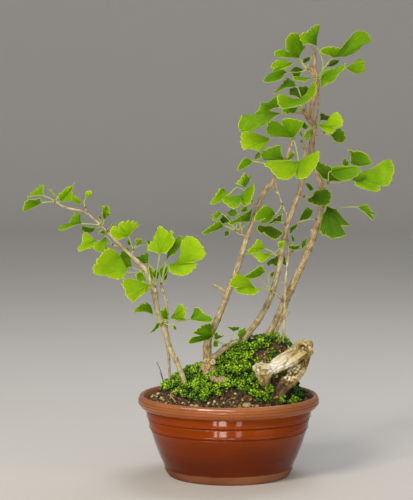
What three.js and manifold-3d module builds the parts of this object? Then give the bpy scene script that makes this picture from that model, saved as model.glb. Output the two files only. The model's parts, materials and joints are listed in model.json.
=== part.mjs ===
// A clump of young ginkgo stems, grown as a bonsai on a mossy mound in a round glazed pot.
// Millimetres, +Z up. The origin is the centre of the pot's flat underside.
import * as THREE from 'three';
import { mergeVertices } from 'three/addons/utils/BufferGeometryUtils.js';
import Module from 'manifold-3d';

const wasm = await Module();
wasm.setup();

// Driving dimensions.
const potWidth = 260;
const potHeight = 117;
const potWall = 5;
const floorThickness = 9;
const drainHole = { radius: 5, fromAxis: 48, count: 4 };
const segments = 28; // round the pot and the soil in it
const soilLevel = 109; // where the soil meets the pot's wall
const thinLimb = { width: 5.5, sides: 4 };
const thickLimb = { sides: 6 };
const bladeThickness = 0.9;
const stalkWidth = 1.9;
const budRadius = 2.8;
const spread = 1.5; // how far leaves turn out of the plane that their stem lies in
const gap = 0.3; // between pieces that touch

// The plant is laid out on a front elevation. Columns run to the right and rows run down, `step`
// millimetres apart on the upright plane through the pot's axis. A place is [column, row, depth],
// and its depth in millimetres counts back from that plane. Lines of sight meet at the eye, so a
// place behind the plane is laid out a little wider than its column and row say.
const elevation = { step: 1.43, axisColumn: 229, groundRow: 475.5 };
const eye = { right: -32, high: 580, far: 2900 };

function place([column, row, depth]) {
  const right = (column - elevation.axisColumn) * elevation.step;
  const high = (elevation.groundRow - row) * elevation.step;
  const spread = (eye.far + depth) / eye.far;
  return new THREE.Vector3(
    eye.right + (right - eye.right) * spread,
    depth,
    eye.high + (high - eye.high) * spread,
  );
}

// Stems: each limb is a list of [column, row, depth, width], from its root to its tip.
const stems = {
  stem_left: [
    [
      [188, 398, -28, 7.4], [186, 386, -28, 7.2], [179, 366, -27, 7], [175, 358, -26, 7.4],
      [171, 350, -26, 7.2], [168, 342, -25, 7.6], [166, 333, -24, 8.6], [163, 323, -23, 8.8],
      [160, 317, -22, 8], [156.5, 303, -20, 7.8], [154.7, 291, -18, 9.6], [153, 284, -17, 8.4],
      [149, 275, -14, 6.8], [143, 265, -11, 6.4], [132, 255, -7, 5], [119, 242, -3, 4.2],
      [107, 230, 0, 3.8], [95, 218, 3, 3.2], [86, 211.3, 4, 3], [75, 208.5, 3, 3],
      [65, 206, 1, 2.8], [57, 201, -2, 2.2],
    ],
    [
      [171, 398, 12, 4], [170, 383, 10, 3.8], [169, 358, -6, 3.6], [167.3, 345, -13, 3.6],
      [166.5, 333, -19, 3.6], [167, 322, -18, 3.6], [167.5, 312, -16, 3.6],
      [166.5, 303, -16, 3.6], [164.5, 293, -15, 3.6], [162, 285, -15, 5],
    ],
    [[88, 212, 4, 3], [86.4, 207.3, 3, 2.4]],
    [[122, 247.5, -4, 3.6], [114.3, 243.9, -6, 2.8]],
    [[132.5, 255.5, -7, 3.4], [133.5, 249.5, -9, 2.8]],
    [[174.5, 357.5, -27, 5], [178, 356.5, -28, 3.4]],
    [[166.8, 300, -16, 2.8], [169, 298.7, -16, 2.2]],
  ],
  stem_front: [
    [
      [208, 381, -38, 13], [210, 372, -24, 19], [210, 365, -12, 21], [208, 358, -8, 13.4],
      [207.5, 349, -8, 12.4], [208, 341, -8, 11.2], [210, 334, -8, 10.4], [213, 329, -8, 9.8],
      [218, 318, -9, 9.2], [225, 300, -10, 9], [232, 282, -12, 8.6], [238, 266, -13, 8],
      [243, 250, -13, 7.6], [247.6, 235, -13, 7], [251, 226, -14, 6.8], [255.3, 213.5, -14, 6.8],
      [258, 206.5, -14, 7], [263, 194.6, -15, 7], [266.5, 187.5, -15, 6.8],
      [271.4, 183.3, -14, 6.2], [276, 176, -14, 5.6], [283, 165, -14, 5.4], [288, 153, -14, 5],
      [293, 139.5, -14, 4.4],
    ],
    [[209, 368, -10, 14], [208, 381, -8, 13], [208, 392, -8, 12]],
    [[211, 364, -18, 10], [213.4, 361.4, -27, 8]],
    [[211, 360, -9, 10], [219, 353, -8, 8.6], [226, 347.5, -6, 7.4], [232, 343.5, -3, 6.4], [238, 341, 1, 5]],
    [[209, 371, -24, 9], [212, 377, -43, 9], [220, 380, -52, 9.6], [228, 381, -55, 6]],
    [[226, 290.5, -11, 5.4], [220, 287.3, -13, 4.8], [214, 284, -15, 4.4]],
    [[257, 206, -14, 5], [254, 203, -15, 5], [251.3, 199.8, -17, 4]],
    [[247, 235.5, -13, 3], [242, 234, -15, 2.8], [238.4, 232.8, -16, 2.6], [236, 230, -17, 2.4]],
    [[242.6, 234, -15, 2.2], [241.8, 228, -15, 4.6], [239.6, 221, -15, 2]],
    [
      [275, 180, -14, 3], [277, 187, -15, 2.2], [278.5, 192, -16, 2], [281, 200, -18, 2],
      [283, 205, -20, 2], [285, 210, -22, 2.4],
    ],
    [[274, 182, -14, 2.2], [273.3, 187.5, -15, 1.8], [275.5, 191, -16, 1.8], [278.6, 193, -16.3, 2]],
  ],
  stem_middle: [
    [
      [242, 352, 10, 11], [245, 338, 10, 10], [250, 331, 10, 9.4], [257, 322, 9, 9],
      [263, 312, 9, 8.8], [268.5, 302, 8, 8.6], [272.5, 291.5, 7, 8.8], [275, 283, 7, 8],
      [278, 272, 6, 7.8], [280.5, 261, 6, 7.6], [282, 250, 6, 7.2], [284, 238, 5, 7],
      [286.2, 227, 5, 7], [288.3, 221, 5, 7], [291, 214, 5, 6.6], [295, 203, 5, 6.6],
      [299, 192, 4, 6.2], [302, 180, 4, 6], [304, 163, 4, 5.4], [304.8, 150, 4, 5],
      [301.5, 142.5, 3, 3.4],
    ],
    [[280.5, 256, 6, 5], [278.8, 255.3, 3, 4.4]],
    [[286.8, 223.5, 5, 5], [285.6, 223.4, 1.5, 4]],
    [[299, 196.5, 4, 4], [303, 196, 3, 2.8]],
  ],
  stem_tall: [
    [
      [267, 346, 18, 10], [269, 334, 18, 9], [275, 322, 18, 8.6], [281, 309, 19, 9],
      [285, 300, 19, 10.4], [290, 291, 20, 11.4], [297, 275, 20, 10.2], [303, 262, 21, 10],
      [308, 250, 21, 9.8], [312, 240, 22, 9.6], [315.3, 230, 22, 9], [318, 222, 22, 7.6],
      [320, 212, 22, 7.2], [321.5, 200, 21, 7], [321.5, 188, 20, 7], [317.5, 174, 19, 7.2],
      [313, 164, 18, 7.6], [311, 152, 17, 8.6], [311.5, 142, 17, 8.2], [313, 133, 17, 6.4],
      [314, 126, 16, 7], [311, 119, 16, 6.6], [311, 110, 15, 7], [313, 100, 14, 6.6],
      [316, 91, 13, 6.2], [317, 84, 13, 6], [316, 77, 12, 6.4], [314, 69, 11, 4.6],
      [314, 60, 11, 4.2], [313.2, 50, 10, 4],
    ],
    [[274, 346, 19, 8], [275, 334, 19, 6.4], [280, 322, 19, 6], [285, 308, 20, 6.6], [289, 296, 20, 7]],
    [[285, 303, 16, 4], [281, 297.5, 6, 3.6], [277, 293, -1, 3.4], [272, 290.5, -3, 3.4]],
    [[314, 234, 22, 7], [311.5, 228, 21, 6.4]],
    [[314.5, 127, 16, 3], [316, 118, 17, 2.8], [318, 106, 17, 2.8], [318.3, 98, 16, 2.8], [316.8, 89, 13, 3]],
    [[312, 124, 16, 7], [307, 116, 11, 9], [301.8, 108.3, 5, 8]],
    [[315.5, 78, 12, 5], [311, 73.5, 9, 4.6], [307.8, 70.5, 6, 4]],
    [[314, 75.5, 11, 5], [309.8, 65.5, 8, 3.4]],
    [[313.3, 52, 10, 3.6], [310.8, 46.8, 9, 3]],
    [[315, 134.5, 17, 4], [322.6, 132.3, 15, 2.8]],
    [[321.5, 188, 20, 6], [324.5, 185, 18, 6.4], [327, 182.2, 15, 5]],
  ],
  stem_thin: [
    [
      [283, 347, 8, 4], [284, 335, 8, 3.6], [284.6, 318, 7.5, 3.6], [285, 305, 7, 3.6],
      [285.7, 285, 8, 3.6], [287, 267, 10, 3.4], [288.5, 254, 11, 3.4], [288.2, 240, 13, 3],
      [287.2, 228, 15, 2.8], [286.7, 219, 15, 2.6], [286.5, 211.5, 15, 3],
    ],
    [[284.8, 317, 7.5, 2.6], [291, 311, 7, 2]],
    [[285, 313, 7, 2.4], [288, 307, 6, 2]],
    [[288.5, 255, 11, 3], [291.6, 250.9, 9, 2.4]],
    [[285.8, 284.5, 8, 2.6], [280.8, 280, 8, 2.2]],
  ],
};

// Sprays of leaves. `from` is the bud that a spray grows out of. A leaf's rim runs round its margin
// from one corner to the other, notches included; its depth is that of its base, first corner,
// middle and last corner, counted from the bud; its stalk passes the places between bud and base.
const sprays = {
  spray_left_tip: {
    from: [56.2, 200.8, -2],
    leaves: [
      { base: [46, 195.5], rim: [[45.5, 183.5], [41, 185.5], [35, 190], [31, 193.5], [28.5, 197.3]],
        depth: [0, 14, 12, 2], stalk: [[52, 197.6, 0]] },
      { base: [43.5, 201.6], rim: [[42, 197.3], [36, 198], [28.5, 199], [25, 204], [24, 211]],
        depth: [-3, -12, -14, -6], stalk: [[50, 201, -2]] },
      { base: [60.5, 201], rim: [[58.5, 196.5], [61, 192.5], [65, 189], [69.5, 185.8], [73, 185.5],
        [75, 182], [73.4, 189], [73.3, 195], [73, 200.2]], depth: [-1, -8, -12, -4] },
      { base: [58.5, 196.2], rim: [[52, 188.2], [50.4, 188.6], [51, 190.4]], depth: [0, 4, 5, 6] },
    ],
  },
  spray_left_outer: {
    from: [86.2, 206.3, 3],
    leaves: [
      { base: [84.5, 201.8], rim: [[81, 203.9], [77, 203.5], [74, 200.5], [73, 197], [74.6, 194.4],
        [79, 196.2]], depth: [3, 8, 14, 10] },
      { base: [85.6, 199.5], rim: [[86.4, 190.5], [88.8, 189.8], [92, 191], [92.9, 193.5], [91.8, 196]],
        depth: [-2, -6, -8, -2], stalk: [[85, 202, -1]] },
    ],
  },
  spray_left_fork: {
    from: [101, 224, -1],
    leaves: [
      { base: [82.5, 222.7], rim: [[82, 214], [80, 212.2], [76.5, 212.5], [73, 216.5], [70.4, 221.5],
        [73, 222.6], [66, 223.3], [61, 225.6], [60, 228.7], [63, 230.6], [72, 226.6]],
        depth: [0, 10, 0, -10], stalk: [[91, 223, 0]] },
      { base: [98, 226.8], rim: [[88, 225], [81.3, 224.6], [84, 229.5], [89.5, 231.6], [94.5, 230]],
        depth: [5, 13, 15, 11], stalk: [[99.6, 226.4, 0]] },
      { base: [104.8, 219.2], rim: [[101.4, 211.5], [103.6, 213], [103.4, 205], [106, 205.8],
        [108, 204], [110.6, 209], [109.5, 211.4], [113, 212.8], [108.5, 215]],
        depth: [0, -6, -10, -4], stalk: [[104, 223, 0]] },
      { base: [101.5, 220.4], rim: [[98.6, 217.2], [100, 214.2], [101.6, 216.5], [103, 217.5]],
        depth: [3, 5, 8, 6] },
    ],
  },
  spray_left_pair: {
    from: [113.4, 243.5, -6],
    leaves: [
      { base: [98, 239.8], rim: [[86.5, 230.3], [83, 234], [83, 240], [80.5, 244.8], [78, 248],
        [80, 250.7], [86, 249], [94, 246.5]], depth: [-4, 2, -14, -12], stalk: [[107, 241.8, -4]] },
      { base: [106.6, 234.8], rim: [[101, 239.4], [95.5, 243], [94, 247.5], [96.5, 250.2],
        [101, 250.9], [105.5, 248.7], [106.9, 243]], depth: [-6, -14, -18, -8], stalk: [[110, 238.3, -4]] },
    ],
  },
  spray_left_node: {
    from: [107.6, 230, -3],
    leaves: [
      { base: [106.2, 230.6], rim: [[103.5, 228.8], [100.3, 230.5], [98.8, 233.2], [102, 232.8],
        [105.5, 233.8]], depth: [-1, -4, -6, -2] },
      { base: [108.6, 228.4], rim: [[112.8, 222.8], [114, 222.2], [114.6, 223.8]], depth: [0, 4, 5, 6] },
    ],
  },
  spray_left_crown: {
    from: [133.7, 248.3, -9],
    leaves: [
      { base: [129.5, 236.3], rim: [[141, 223.3], [136.5, 221.3], [130.5, 220.3], [124, 220.8],
        [118.5, 222.8], [120, 227.3], [115, 224.8], [111, 229.5], [110.8, 233], [114.5, 237],
        [120.5, 239.1]], depth: [-3, 4, -10, -14], stalk: [[131.3, 242, -2]] },
      { base: [136, 244.8], rim: [[136, 239], [137.5, 237], [139.6, 238.6], [141.6, 238], [143.4, 240.2],
        [142, 242.8]], depth: [-2, -8, -6, 2] },
      { base: [132.8, 246], rim: [[128, 244], [127.5, 240.5], [129, 238], [132, 242.5]],
        depth: [2, 4, 8, 6] },
      { base: [148.3, 243.6], rim: [[145.3, 240.2], [149.5, 239.5], [153, 244.5]],
        depth: [6, 12, 14, 12], stalk: [[140.5, 244.8, 2]] },
    ],
  },
  spray_left_elbow: {
    from: [144.2, 270.4, -14],
    leaves: [
      { base: [129, 271.5], rim: [[122, 259], [118.3, 253], [114, 247.6], [109, 247.5], [104, 251.5],
        [99.5, 256.5], [96.5, 262], [93.4, 265.6], [93.2, 270.3], [96, 273.8], [104, 274],
        [112, 276.8], [118.5, 278.7], [124.7, 277.5]], depth: [-6, 4, -18, -12], stalk: [[136.5, 271.5, -3]] },
      { base: [133.7, 266.8], rim: [[131.5, 254], [130, 249], [128.3, 246], [124, 249.5],
        [120.3, 254.5], [121.5, 263], [126.5, 269.6]], depth: [12, 20, 26, 20], stalk: [[140, 269.2, 6]] },
      { base: [144, 272.6], rim: [[147, 277.6], [145, 280.8], [139, 280.5], [136.2, 277.4], [137, 273],
        [140, 270.4]], depth: [-3, -6, -8, -5] },
    ],
  },
  spray_left_trunk: {
    from: [155.4, 285.4, -21],
    leaves: [
      { base: [151.3, 284.3], rim: [[136, 280.6], [128, 278.3], [123.3, 278.6], [122, 284], [124.8, 290],
        [127.5, 296], [130.2, 297.8], [133.4, 301.6], [137, 297.8], [143, 291.3], [146, 292.3],
        [149.7, 289.5]], depth: [-4, -10, -28, -14] },
      { base: [151.8, 283.6], rim: [[149, 274], [147.6, 265.5], [149.8, 265.3], [151.8, 272]],
        depth: [-5, -20, -14, -6] },
      { base: [149.8, 263.6], rim: [[149.6, 254.5], [148, 252.3], [144, 253.8], [136.6, 257],
        [140, 260.8], [144.5, 263.4]], depth: [19, 27, 29, 23], stalk: [[157, 278, 10], [154.2, 269, 18]] },
      { base: [160, 254.8], rim: [[147, 249.6], [150, 242.5], [153.5, 238], [156.4, 230.5], [158, 226],
        [160, 224.5], [165, 228], [169.4, 231.6], [171.3, 229.6], [173.5, 230], [172.7, 234],
        [175, 239], [171, 246.5], [166, 252.5]], depth: [-8, -2, -14, -20],
        stalk: [[156.6, 275, -4], [158.6, 263, -7]] },
    ],
  },
  spray_left_shoot: {
    from: [161.6, 282.8, -15],
    leaves: [
      { base: [166, 261.6], rim: [[170.5, 246.5], [175, 239.6], [178, 235.5], [180.5, 234.2],
        [182.8, 236.6], [181, 243], [174.5, 253.5]], depth: [-2, 6, 0, -6], stalk: [[163.5, 272, 0]] },
      { base: [166, 266.6], rim: [[179, 261.2], [182, 253], [183, 244], [184.2, 236.5], [188, 234.5],
        [193, 236.8], [198, 239.5], [202, 244.5], [204.6, 250], [205.3, 255.5], [202, 259],
        [188.5, 261.3], [195, 262.2], [197.3, 263.4], [193, 269], [188, 273.5], [184, 275],
        [172, 272]], depth: [-3, -6, -22, -14], stalk: [[163.5, 275, -2]] },
      { base: [158.6, 279.4], rim: [[153.5, 277], [152.3, 271], [156, 268.4], [160, 271.5]],
        depth: [-1, -3, -2, 0] },
      { base: [161.5, 279], rim: [[159, 271], [161.8, 265.6], [165.6, 264.3], [168, 268.5], [165.5, 274]],
        depth: [2, 4, 6, 4] },
      { base: [163.3, 281], rim: [[164.3, 276], [168.3, 270.5], [167, 277.5]], depth: [-2, -8, -8, -4] },
    ],
  },
  spray_left_low: {
    from: [163.2, 322, -29],
    leaves: [
      { base: [153, 313.8], rim: [[150.7, 306], [149, 302.3], [146, 301.8], [141, 304.5], [137, 307],
        [134, 310.4], [136, 311.8], [143.5, 311.4]], depth: [0, 6, -6, -10], stalk: [[157.8, 317, 0]] },
      { base: [161, 322.4], rim: [[157, 321.5], [154.5, 327], [151, 331], [147.2, 334.8], [153, 331.6],
        [159, 327.3]], depth: [0, -4, -10, -6] },
      { base: [168.3, 319.3], rim: [[167.8, 311.5], [165.6, 307], [163, 308.3], [160.3, 310.6],
        [161, 314.5], [163.5, 318.3]], depth: [0, -4, -8, -2] },
      { base: [170.5, 317.6], rim: [[175, 312.2], [177.5, 306.5], [180.5, 303.3], [184, 306.3],
        [186.5, 307], [184.8, 311], [186, 313.6], [184.4, 316], [185.8, 318.3], [183, 319.9],
        [176.5, 320]], depth: [0, -8, -14, -6] },
      { base: [190.3, 318.8], rim: [[193.8, 312.5], [194.8, 307.6], [196.3, 305.8], [200, 308],
        [204, 312.6], [212.4, 317.7], [212, 321.6], [203, 321.8]], depth: [-4, 6, -6, -14],
        stalk: [[170, 324.5, 0], [178, 320.9, -2]] },
      { base: [173, 325.6], rim: [[174.6, 324], [176.3, 327], [176, 330], [173.8, 328.5]],
        depth: [0, 2, 0, -2] },
    ],
  },
  spray_foot: {
    from: [226, 344.9, -9],
    leaves: [
      { base: [213.6, 336.6], rim: [[212.6, 322.6], [206, 323.5], [200.5, 326], [196, 329.8],
        [193.2, 332.5], [200.5, 334.8], [192, 336.8], [188, 342], [192, 343.2], [199, 339.3],
        [203.5, 337], [207.5, 340.6]], depth: [-10, -12, -26, -18], stalk: [[220, 342, -6]] },
      { base: [214.2, 338.8], rim: [[213.7, 333.5], [217, 331.6], [221, 335.3], [225.3, 334.3],
        [218.8, 338.6]], depth: [-9, -11, -14, -8] },
      { base: [214.6, 340], rim: [[213.3, 343.5], [215, 348], [218.6, 345], [217.6, 341]],
        depth: [-9, -10, -14, -10] },
      { base: [234, 331.4], rim: [[230, 328.7], [227, 326.6], [233, 326.2], [240.5, 326.8], [237.8, 330]],
        depth: [4, 8, 10, 6], stalk: [[229.5, 340, 1]] },
      { base: [239, 338.8], rim: [[236.3, 334.5], [239, 331], [242.5, 328], [245, 327], [246, 330.5],
        [243, 335.5]], depth: [4, 6, 10, 8], stalk: [[233, 343, 2]] },
    ],
  },
  spray_top_left: {
    from: [307, 69.7, 5.5],
    leaves: [
      { base: [299, 58.5], rim: [[305, 47.6], [301.6, 44.5], [300, 37], [294, 33.7], [288.3, 35.5],
        [284.9, 40.6], [285, 48.5], [287, 52], [280.5, 50], [275.5, 51.8], [274, 54.6], [277, 57.8],
        [284, 58.3]], depth: [-2, 4, -12, -14], stalk: [[303.5, 65.5, 0]] },
      { base: [298.4, 61], rim: [[290.5, 64], [284, 61.3], [278, 60], [274, 62], [270.2, 67.4],
        [273, 68.5], [272, 71.5], [279, 70.3], [288, 68]], depth: [0, -6, -14, -10], stalk: [[303, 66.5, 1]] },
      { base: [288, 72.5], rim: [[283, 69.6], [275, 71], [269.5, 74], [265.8, 76.3], [262.8, 82],
        [267, 83], [275, 82], [282, 78.8]], depth: [4, 8, 2, -4], stalk: [[298, 72.5, 4]] },
      { base: [304.6, 71], rim: [[300, 68.5], [294.5, 67], [290.6, 69.3], [291, 74.5], [294, 77.2],
        [299, 77]], depth: [4, 10, 8, 4] },
      { base: [310.8, 57.2], rim: [[307.5, 57.5], [303.3, 60], [302, 62.6], [306.5, 62.2], [310.3, 60]],
        depth: [4, 8, 8, 6], stalk: [[308, 63, 3]] },
    ],
  },
  spray_top_right: {
    from: [317.5, 78, 7.2],
    leaves: [
      { base: [315.6, 47], rim: [[315, 40], [316.5, 33], [319, 26.8], [318, 24.8], [314, 27],
        [310.5, 28.5], [307, 32.3], [303, 33.5], [298.5, 37], [300.5, 42], [303, 44.8], [309, 45]],
        depth: [-8, -4, -10, -18], stalk: [[322, 69, -3], [321, 59, -5], [318.5, 52, -7]] },
      { base: [331, 58.7], rim: [[321.5, 55], [319.5, 50.2], [324, 47.6], [332, 47.2], [338.8, 48.5],
        [344, 44.5], [349, 36.5], [353, 32.5], [358, 32], [363.2, 32.3], [367, 36], [369.8, 41],
        [362, 44.2], [359, 48.5], [353, 53.5], [345, 57.3]], depth: [-6, -16, -12, -4],
        stalk: [[321.5, 71, -4], [326, 64.5, -5]] },
      { base: [324.5, 67.4], rim: [[328, 62], [333, 60], [338.6, 60.9], [335, 64.8], [330, 67]],
        depth: [2, 8, 12, 10], stalk: [[321, 72, 0]] },
      { base: [343.5, 68.5], rim: [[352, 63.5], [357, 59.3], [360.6, 59.2], [362.5, 63.5], [364, 70],
        [361.8, 72.8], [358.3, 72.7], [358.6, 74.8], [355, 75.1], [349.5, 72.3]],
        depth: [-4, 4, 6, 0], stalk: [[328, 76, -1]] },
      { base: [318.6, 79], rim: [[323, 70.3], [330, 68.8], [337, 67.3], [341, 63.8], [343.8, 62.2],
        [342.6, 69.5], [337, 74.5], [335, 79], [332, 81.6], [327, 84], [322, 87.5], [319.8, 84]],
        depth: [-2, -8, -16, -6] },
      { base: [314, 79], rim: [[304, 79], [297, 77.3], [291, 76.2], [292.5, 78.8], [298, 81.3], [305, 82]],
        depth: [-2, -4, -8, -12] },
    ],
  },
  spray_old_spur: {
    from: [302.6, 109.6, 0.6],
    leaves: [
      { base: [296, 86.4], rim: [[295, 81.8], [290.5, 80.2], [287.5, 78.3], [284.5, 80.5], [280, 86],
        [272, 94.6], [277, 93], [284, 89.2]], depth: [8, 14, 12, 6], stalk: [[301, 99, 6]] },
      { base: [301, 98.6], rim: [[307.5, 88], [311, 82.8], [314.4, 81.5], [315.7, 88], [314.8, 94.5],
        [311, 99], [305, 103.5], [300, 105], [293, 106], [287, 107.8], [282.5, 108.3], [279, 106.5],
        [277.6, 101], [278, 95.3], [281, 93.6], [288, 96.3]], depth: [-6, -4, -28, -16] },
      { base: [300.5, 100.5], rim: [[288.5, 95], [289, 90], [293, 87.3], [300, 86.5], [307, 87], [307, 93.5]],
        depth: [4, 10, 16, 12] },
      { base: [298, 107], rim: [[281, 108.5], [283.5, 112.3], [286.5, 114], [288.3, 112.3], [291.5, 113.8],
        [294.5, 112.3], [295.6, 110]], depth: [-2, -6, -10, -4] },
      { base: [281, 113.4], rim: [[272, 112.5], [266, 111], [262.5, 106], [260.5, 101.5], [259.3, 106],
        [257.3, 111], [254, 114.2], [247, 113.2], [241.5, 113.2], [239.8, 119], [238, 126.3],
        [241, 130.3], [248, 131.2], [256, 129.3], [265, 124], [274, 117]], depth: [-8, -10, -28, -32],
        stalk: [[291, 111.6, -4]] },
      { base: [281, 107], rim: [[277, 95], [272.5, 98.5], [268, 102], [262.5, 104.5], [265.3, 109],
        [268, 112], [274, 108.7]], depth: [4, 10, 12, 8], stalk: [[291, 108, 2]] },
    ],
  },
  spray_front_tip: {
    from: [293, 138.4, -15],
    leaves: [
      { base: [270, 138], rim: [[266, 144], [262, 149], [259, 150.5], [252, 148.6], [247, 148.3],
        [243.7, 149.6], [241.6, 145], [240.3, 142.3], [241.5, 138.5], [241, 134], [244.5, 131],
        [249, 130.9], [256.5, 134]], depth: [0, -2, -10, -2], stalk: [[284, 136.9, 0], [276, 136.9, 0]] },
      { base: [293, 137.4], rim: [[280, 135.3], [273, 136], [269, 134.6], [265.8, 129.5], [266, 125],
        [270, 121.2], [275.5, 121], [281.5, 124.5], [281.3, 120], [285, 118.2], [292, 118.4],
        [298.5, 119.5], [303.8, 121.5], [300.5, 126.5], [297.3, 131.5]], depth: [-2, -6, -16, -8] },
      { base: [298, 160.8], rim: [[268, 159.8], [263.5, 163.8], [269.5, 167.3], [272.5, 172],
        [276.5, 176.5], [281.5, 179.3], [287, 179.6], [292, 177], [294.2, 173.3], [296.3, 177.2],
        [301, 178], [307, 175.8], [312, 170], [316.5, 164.5], [318.8, 158], [318.3, 151.5],
        [313.5, 152.4], [306, 158]], depth: [-10, -16, -38, -14], stalk: [[296, 148, -5]] },
    ],
  },
  spray_middle_tip: {
    from: [301.2, 140.9, 2.4],
    leaves: [
      { base: [301.8, 139], rim: [[299.3, 134], [299.6, 130.3], [302, 134]], depth: [0, 0, 2, 1] },
      { base: [305, 130.6], rim: [[300.3, 126.8], [302.3, 122.4], [306.3, 124], [309, 127.6]],
        depth: [-2, 2, 0, -3], stalk: [[303.3, 136.5, -1]] },
    ],
  },
  spray_front_upper: {
    from: [284, 161.8, -18],
    leaves: [
      { base: [285, 159.4], rim: [[281.2, 151.5], [280.6, 145.4], [279, 144.4], [273, 146], [266, 148.5],
        [261.5, 151.8], [262.3, 158.2], [270, 159.6]], depth: [0, -4, -2, 4] },
      { base: [254, 160.4], rim: [[254.4, 156], [258.5, 151.2], [261, 154], [260, 158.4]],
        depth: [-1, 4, 2, 0], stalk: [[268, 162.6, 0]] },
      { base: [253, 160.8], rim: [[249, 158.8], [245.6, 156.2], [241.5, 160], [237.6, 169.7],
        [245, 167.4], [250, 164]], depth: [-2, -4, -10, -6], stalk: [[268, 163, 0]] },
      { base: [286.3, 160.5], rim: [[288.6, 154], [292, 151.5], [294.4, 153.6], [291.8, 158.3]],
        depth: [-1, -4, -5, -3] },
    ],
  },
  spray_tall_node: {
    from: [315.6, 124.6, 11.4],
    leaves: [
      { base: [318.8, 120.8], rim: [[318.8, 114.5], [320.8, 112.4], [325, 114.5], [330.5, 116.6],
        [327, 120.6]], depth: [6, 10, 14, 10], stalk: [[318.8, 124, 1]] },
      { base: [317, 124.8], rim: [[326, 122.2], [329.3, 117.5], [332, 113.3], [335.5, 111.9],
        [339.5, 114.5], [341.6, 119.5], [341.2, 124.5], [338, 127.3], [331.5, 127.2], [334.6, 129.2],
        [332.8, 132], [328, 133.3], [321.5, 129.8]], depth: [-3, -8, -18, -10] },
      { base: [311.8, 127.7], rim: [[311.3, 133], [309.5, 137.5], [306, 140], [303, 136.4], [305.7, 132.3]],
        depth: [-1, -3, -6, -3] },
    ],
  },
  spray_tall_single: {
    from: [323.4, 132.2, 15],
    leaves: [
      { base: [328.4, 134.4], rim: [[334.5, 131], [336.5, 127.3], [340.5, 128], [344, 133.5],
        [344.5, 139.5], [339.5, 142.6], [333, 140.3]], depth: [0, 6, 4, -4] },
    ],
  },
  spray_tall_right: {
    from: [327.9, 181.6, 14],
    leaves: [
      { base: [349.4, 165], rim: [[350.3, 157.5], [349.8, 153], [346.3, 148.2], [351.5, 150.3],
        [358, 150.5], [364, 152.6], [368.2, 156.2], [369.8, 159.8], [370.4, 163.4], [366, 165],
        [357.5, 166]], depth: [-2, 6, -4, -8], stalk: [[338, 176, 2]] },
      { base: [345.4, 167.6], rim: [[340.6, 163.5], [343.8, 158.2], [346.5, 159.5], [348.6, 164]],
        depth: [1, 5, 6, 4], stalk: [[338, 176.5, 2]] },
      { base: [328.6, 181.4], rim: [[321.5, 178], [318, 171.5], [314.8, 167], [316, 160], [322, 162.6],
        [330, 166], [340, 165.3], [349, 166], [357, 166.3], [359.8, 169.8], [356, 173.5],
        [350, 178], [341, 180.2]], depth: [-2, -6, -5, -16] },
      { base: [350, 179.6], rim: [[359, 175.3], [358.3, 171.6], [366, 171.2], [374, 167.5], [382, 161.3],
        [387.5, 158], [391, 160.5], [393.9, 169], [392.5, 175.5], [389.5, 182.7], [386, 185.1],
        [376.5, 183.4], [380.4, 189.3], [377.5, 191], [371.5, 190.2], [362, 187.3], [354, 184.6]],
        depth: [-6, 4, -20, -18], stalk: [[339, 182, -3]] },
    ],
  },
  spray_middle_right: {
    from: [303.9, 195.8, 2.4],
    leaves: [
      { base: [311.5, 195.6], rim: [[313.5, 190.5], [320, 188.8], [327, 188.8], [330.4, 191.5],
        [331, 196], [329.5, 202], [321, 205.4], [313.5, 203.5], [307.4, 201.2], [307.4, 198.6]],
        depth: [-2, -5, -9, -4] },
      { base: [310.4, 191.2], rim: [[307.3, 187], [305.3, 182.8], [308.2, 182.2], [312, 185.5],
        [313.8, 189.6]], depth: [2, 4, 6, 4] },
    ],
  },
  spray_tall_hanging: {
    from: [323.4, 205.6, 17.6],
    leaves: [
      { base: [326, 204], rim: [[336, 208.6], [341, 215], [345.5, 220], [350, 224.6], [340.5, 224.8],
        [345, 229], [347.6, 232], [344.5, 234.8], [338, 236.5], [333, 238], [327, 235.3],
        [319.6, 231.8], [320.6, 222], [322, 213]], depth: [-2, -6, -18, -11] },
      { base: [356, 206.3], rim: [[362, 204.6], [367.3, 203.2], [369.5, 206.5], [371.8, 211.5],
        [376, 213.5], [371.7, 214.3], [373.2, 218], [372.2, 219.8], [364, 211.6]],
        depth: [-4, -2, -10, -6], stalk: [[332, 208.3, 2], [345, 206.3, 0]] },
    ],
  },
  spray_tall_left: {
    from: [316, 218.4, 20.4],
    leaves: [
      { base: [298.5, 221.3], rim: [[300.8, 215.5], [304.3, 209], [308, 206.3], [311.5, 208.3],
        [312.7, 211], [310, 216], [306, 219.3]], depth: [-2, 2, 4, 0], stalk: [[307, 218.8, -1]] },
      { base: [297.8, 222], rim: [[297.8, 225], [294.5, 229], [290, 232.4], [289.8, 227]],
        depth: [-3, -5, -7, -4], stalk: [[307, 219, -1]] },
    ],
  },
  spray_front_spur: {
    from: [250.7, 198.8, -18],
    leaves: [
      { base: [244.8, 186.7], rim: [[248.5, 181], [250.7, 173.3], [248.3, 176.5], [245.5, 172.4],
        [242, 174.8], [240, 178.8], [235.3, 182.6], [239.5, 184]], depth: [0, 4, -6, -10],
        stalk: [[246, 192, 2]] },
      { base: [228.6, 194], rim: [[226, 191], [223.3, 187.2], [221, 187.5], [217, 192.3], [213.7, 197.3],
        [211.5, 201.2], [212.3, 204], [219, 202], [226, 198.3]], depth: [-2, 4, -6, -4],
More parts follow.
